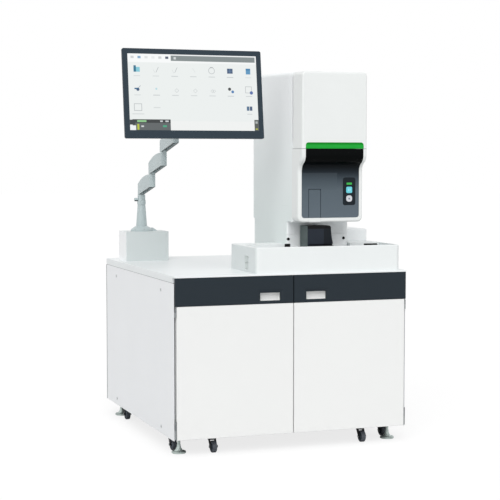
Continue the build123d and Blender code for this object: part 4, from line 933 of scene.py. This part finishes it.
# %% Finishes to nodes
dressed = {
    worktop_laminate: ["worktop"],
    door_laminate: ["left_door_panel", "right_door_panel"],
    fascia_plastic: ["left_door_fascia", "right_door_fascia"],
    panel_paint: ["left_side_panel", "right_side_panel"],
    rear_paint: ["rear_panel"],
    frame_paint: ["cabinet_frame"],
    base_paint: ["base_pan"],
    stud_finish: ["panel_studs"],
    plated_steel: ["castor_plates"],
    fork_paint: [f"castor_fork_{number}" for number in range(1, 7)],
    rubber: [f"castor_wheel_{number}" for number in range(1, 7)],
    foot_steel: [f"levelling_foot_{number}" for number in range(1, 5)],
    housing_plastic: ["main_housing", "neck_cover", "base_block"],
    sampler_plastic: ["sampler_housing"],
    front_plastic: ["front_frame", "upper_cover"],
    deck_metal: ["sampler_deck"],
    window_plastic: ["front_panel"],
    door_plastic: ["tube_holder"],
    dark_plastic: ["button_panel"],
    station_plastic: ["centre_station"],
    black_plastic: ["feed_pusher", "exit_pusher"],
    switch_plastic: ["power_switch"],
    button_cyan: ["start_button"],
    button_white: ["mode_button"],
    bar_green: ["light_bar"],
    unit_plastic: ["pneumatic_unit"],
    container_plastic: ["diluent_container"],
    cartridge_plastic: ["reagent_cartridges"],
    box_paint: ["arm_box"],
    arm_paint: ["arm_base", "arm_post", "monitor_yoke", "monitor_mount"]
    + [f"arm_link_{number}" for number in range(1, 5)],
    bezel_plastic: ["monitor_shell", "monitor_bezel"],
    display: ["monitor_screen"],
}
for finish, names in dressed.items():
    for name in names:
        nodes[name].data.materials.clear()
        nodes[name].data.materials.append(finish.material)
bare = set(nodes) - {name for names in dressed.values() for name in names}
print("nodes without a finish:", sorted(bare))

# %% [markdown]
# ## Making small pieces
#
# The rest are small things that sit on the solids: a lamp, marks, sensors, screws, hubs and
# sockets. Most are either a plate with rounded corners or a turned form, so two builders make
# them from a few sizes, and a third places the result on its body with its finish.


# %% Builders
def rounded_outline(width, height, radius, steps=6):
    """Points round a rectangle with rounded corners, about its centre."""
    points = []
    for quarter, (side, end) in enumerate(((1, 1), (-1, 1), (-1, -1), (1, -1))):
        for step in range(steps + 1):
            angle = math.radians(90 * (quarter + step / steps))
            points.append((
                side * (width / 2 - radius) + radius * math.cos(angle),
                end * (height / 2 - radius) + radius * math.sin(angle),
            ))
    return points


def add_plate(shape, outline, centre, right, up, thickness):
    """Adds a plate to a mesh: its outline lies at centre, and its thickness goes along right x up."""
    right, up = Vector(right), Vector(up)
    lift = right.cross(up) * thickness
    base = [shape.verts.new(Vector(centre) + right * across + up * along) for across, along in outline]
    top = [shape.verts.new(point.co + lift) for point in base]
    shape.faces.new(base[::-1])
    shape.faces.new(top)
    for number, point in enumerate(base):
        after = (number + 1) % len(base)
        shape.faces.new((point, base[after], top[after], top[number]))


def add_turned(shape, profile, centre, axis, steps=32):
    """Adds a turned form: profile is (radius, height along the axis), from end to end."""
    axis = Vector(axis).normalized()
    side = axis.orthogonal().normalized()
    other = axis.cross(side)
    rings = []
    for radius, height in profile:
        middle = Vector(centre) + axis * height
        ring = []
        for step in range(steps):
            angle = 2 * math.pi * step / steps
            out = side * math.cos(angle) + other * math.sin(angle)
            ring.append(shape.verts.new(middle + out * radius))
        rings.append(ring)
    for lower, upper in zip(rings, rings[1:]):
        for step in range(steps):
            after = (step + 1) % steps
            shape.faces.new((lower[step], lower[after], upper[after], upper[step]))
    shape.faces.new(rings[0][::-1])
    shape.faces.new(rings[-1])


def make_piece(name, build, body, finish, bevel=0.0):
    """Makes a piece with build(shape), softens its edges, and lets it ride on a body."""
    shape = bmesh.new()
    build(shape)
    bmesh.ops.recalc_face_normals(shape, faces=shape.faces)
    mesh = bpy.data.meshes.new(name)
    shape.to_mesh(mesh)
    shape.free()
    piece = bpy.data.objects.new(name, mesh)
    bpy.context.scene.collection.objects.link(piece)
    mesh.materials.append(finish.material)
    if bevel:
        softened = piece.modifiers.new("soft_edges", "BEVEL")
        softened.width = bevel
        softened.segments = 2
        softened.angle_limit = math.radians(40)
        softened.limit_method = "ANGLE"
    mesh.polygons.foreach_set("use_smooth", [True] * len(mesh.polygons))
    mesh.set_sharp_from_angle(angle=math.radians(35))
    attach(piece, body)


print("builders ready")

# %% [markdown]
# ## The button panel
#
# Above the buttons sits a small green lamp in its own window, and each button carries a mark: two
# pale bars on the cyan one, a grey arrow on the white one. They are thin plates, so that they catch the
# light as printed or moulded marks do and still show from the side.

# %% Lamp and marks
panel_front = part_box("button_panel")[0].y
start_low, start_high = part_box("start_button")
mode_low, mode_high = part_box("mode_button")
lamp_width = 25 * MM
lamp_height = 9 * MM
lamp_up = 1113.5 * MM
lamp_depth = 0.8 * MM
mark_depth = 0.25 * MM
bar_spacing = 3.5 * MM
arrow = [(-4.5, -3.5), (4.5, -3.5), (4.5, -1), (0, 4.5), (-4.5, -1)]
facing_user = {"right": (1, 0, 0), "up": (0, 0, 1)}
buttons_x = (start_low.x + start_high.x) / 2


def lamp_shape(shape):
    outline = rounded_outline(lamp_width, lamp_height, 3 * MM)
    add_plate(shape, outline, (buttons_x, panel_front, lamp_up), thickness=lamp_depth, **facing_user)


def start_mark_shape(shape):
    middle = (start_low.z + start_high.z) / 2
    outline = rounded_outline(3 * MM, 11 * MM, 1 * MM)
    for bar_x in (buttons_x - bar_spacing, buttons_x + bar_spacing):
        add_plate(shape, outline, (bar_x, start_low.y, middle), thickness=mark_depth, **facing_user)


def mode_mark_shape(shape):
    middle = (mode_low.z + mode_high.z) / 2
    outline = [(across * MM, along * MM) for across, along in arrow]
    add_plate(shape, outline, (buttons_x, mode_low.y, middle), thickness=mark_depth, **facing_user)


make_piece("status_lamp", lamp_shape, "root", lamp_green, 0.3 * MM)
make_piece("start_mark", start_mark_shape, "start_button", mark_pale)
make_piece("mode_mark", mode_mark_shape, "mode_button", mark_grey)
print("lamp", round(lamp_width / MM), "mm wide")

# %% [markdown]
# ## Rack sensors on the neck
#
# Two round sensors look out of the neck at the racks, one each side of the dark station. Each is a
# black lens in a short black ring, turned as one profile.

# %% Sensors
neck_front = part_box("neck_cover")[0].y
sensor_height = 874 * MM
sensor_places = (53 * MM, 311 * MM)
sensor_profile = [(6.2, -4), (6.2, 1.6), (5.6, 2.2), (4.6, 2.2), (4.2, 1.4), (2.5, 2.0), (0.4, 2.3)]


def sensor_shape(shape):
    profile = [(radius * MM, height * MM) for radius, height in sensor_profile]
    for sensor_x in sensor_places:
        add_turned(shape, profile, (sensor_x, neck_front, sensor_height), (0, -1, 0))


make_piece("rack_sensors", sensor_shape, "root", black_plastic)
print("sensors at", round(sensor_height, 3), "m")

# %% [markdown]
# ## Castor hubs and nuts
#
# A castor's tyre is moulded round a harder hub, and its axle ends in a nut on each side of the
# fork. Hubs turn with the wheels and nuts with the forks, so they are separate pieces that ride
# on different bodies.

# %% Hubs and nuts
hub_profile = [(16.5, 0), (16.5, 1.0), (15.5, 1.6), (9.0, 1.6), (8.2, 1.0)]
hub_sink = 2 * MM
nut_radius = 6.2 * MM
nut_height = 2.6 * MM
nut_chamfer = 0.4 * MM
nut_top_share = 0.86
nut_sink = 0.6 * MM
nut_profile = [
    (nut_radius, 0),
    (nut_radius, nut_height - nut_chamfer),
    (nut_radius * nut_top_share, nut_height),
]

for number in range(1, 7):
    wheel_low, wheel_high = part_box(f"castor_wheel_{number}")
    fork_low, fork_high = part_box(f"castor_fork_{number}")
    wheel_y = (wheel_low.y + wheel_high.y) / 2
    wheel_z = (wheel_low.z + wheel_high.z) / 2
    middle_x = (wheel_low.x + wheel_high.x) / 2
    dish = (wheel_high.x - wheel_low.x) / 2 - hub_sink

    def hub_shape(shape):
        profile = [(radius * MM, height * MM) for radius, height in hub_profile]
        for side in (-1, 1):
            add_turned(shape, profile, (middle_x + side * dish, wheel_y, wheel_z), (side, 0, 0))

    def nut_shape(shape):
        for side, end_x in ((-1, fork_low.x), (1, fork_high.x)):
            start = (end_x - side * (nut_height - nut_sink), wheel_y, wheel_z)
            add_turned(shape, nut_profile, start, (side, 0, 0), 6)

    make_piece(f"castor_hub_{number}", hub_shape, f"castor_roll_{number}", bezel_plastic)
    make_piece(f"castor_nuts_{number}", nut_shape, f"castor_swivel_{number}", plated_steel)
print("castors dressed:", 6)

# %% [markdown]
# ## Fasteners
#
# Screws say how a thing comes apart. The arm's flange and the tower's rear skin are held by pan
# heads. One builder turns a domed head, and each group of heads is one piece.

# %% Screw heads
head_profile = [(1.0, 0), (1.0, 0.28), (0.82, 0.5), (0.45, 0.6), (0.08, 0.62)]
flange_x = -389 * MM
flange_ring = 44 * MM
flange_thickness = 8 * MM
flange_angles = (160, 215, 270, 325)
flange_head = 5 * MM
tower_head = 3.5 * MM
tower_columns = (60 * MM, 193 * MM, 326 * MM)
tower_rows = (980 * MM, 1280 * MM, 1560 * MM)


def add_head(shape, radius, centre, axis):
    profile = [(radius * wide, radius * high) for wide, high in head_profile]
    add_turned(shape, profile, centre, axis, 20)


def flange_screws(shape):
    base_low, base_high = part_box("arm_base")
    centre = Vector((flange_x, (base_low.y + base_high.y) / 2, base_low.z + flange_thickness))
    for angle in flange_angles:
        turn = math.radians(angle)
        out = Vector((math.cos(turn), math.sin(turn), 0))
        add_head(shape, flange_head, centre + out * flange_ring, (0, 0, 1))


def tower_screws(shape):
    tower_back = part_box("main_housing")[1].y
    for screw_x in tower_columns:
        for screw_z in tower_rows:
            add_head(shape, tower_head, (screw_x, tower_back, screw_z), (0, 1, 0))


make_piece("flange_screws", flange_screws, "root", stud_steel)
make_piece("tower_screws", tower_screws, "root", stud_steel)
print("fastener groups:", 2)

# %% [markdown]
# ## Sockets
#
# The sampler's left side has a port with the rocker in its upper half and a blank in its lower
# half. The tower's back takes the mains lead in a recessed inlet with three flat pins.

# %% Port blank and mains inlet
sampler_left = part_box("sampler_housing")[0].x
switch_low, switch_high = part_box("power_switch")
switch_centre_y = (switch_low.y + switch_high.y) / 2
blank_sink = 5 * MM
blank_height = 769 * MM
blank_depth = 3.6 * MM
inlet_place = Vector((267, 24, 800)) * MM
inlet_depth = 2 * MM
pin_offsets = ((-8, -1), (0, 3), (8, -1))
pin_length = 7 * MM
facing_back = {"right": (-1, 0, 0), "up": (0, 0, 1)}


def port_blank(shape):
    outline = rounded_outline(42 * MM, 24 * MM, 2.5 * MM)
    centre = (sampler_left + blank_sink, switch_centre_y, blank_height)
    add_plate(shape, outline, centre, (0, -1, 0), (0, 0, 1), blank_depth)


def inlet_block(shape):
    outline = rounded_outline(36 * MM, 18 * MM, 4 * MM)
    add_plate(shape, outline, inlet_place, thickness=inlet_depth, **facing_back)


def inlet_pins(shape):
    outline = rounded_outline(2 * MM, 5 * MM, 0.5 * MM, 3)
    for pin_x, pin_z in pin_offsets:
        root = inlet_place + Vector((pin_x * MM, inlet_depth, pin_z * MM))
        add_plate(shape, outline, root, thickness=pin_length, **facing_back)


make_piece("port_blank", port_blank, "root", switch_plastic, 0.6 * MM)
make_piece("inlet_block", inlet_block, "root", black_plastic, 0.5 * MM)
make_piece("inlet_pins", inlet_pins, "root", stud_steel)
print("port and inlet done")
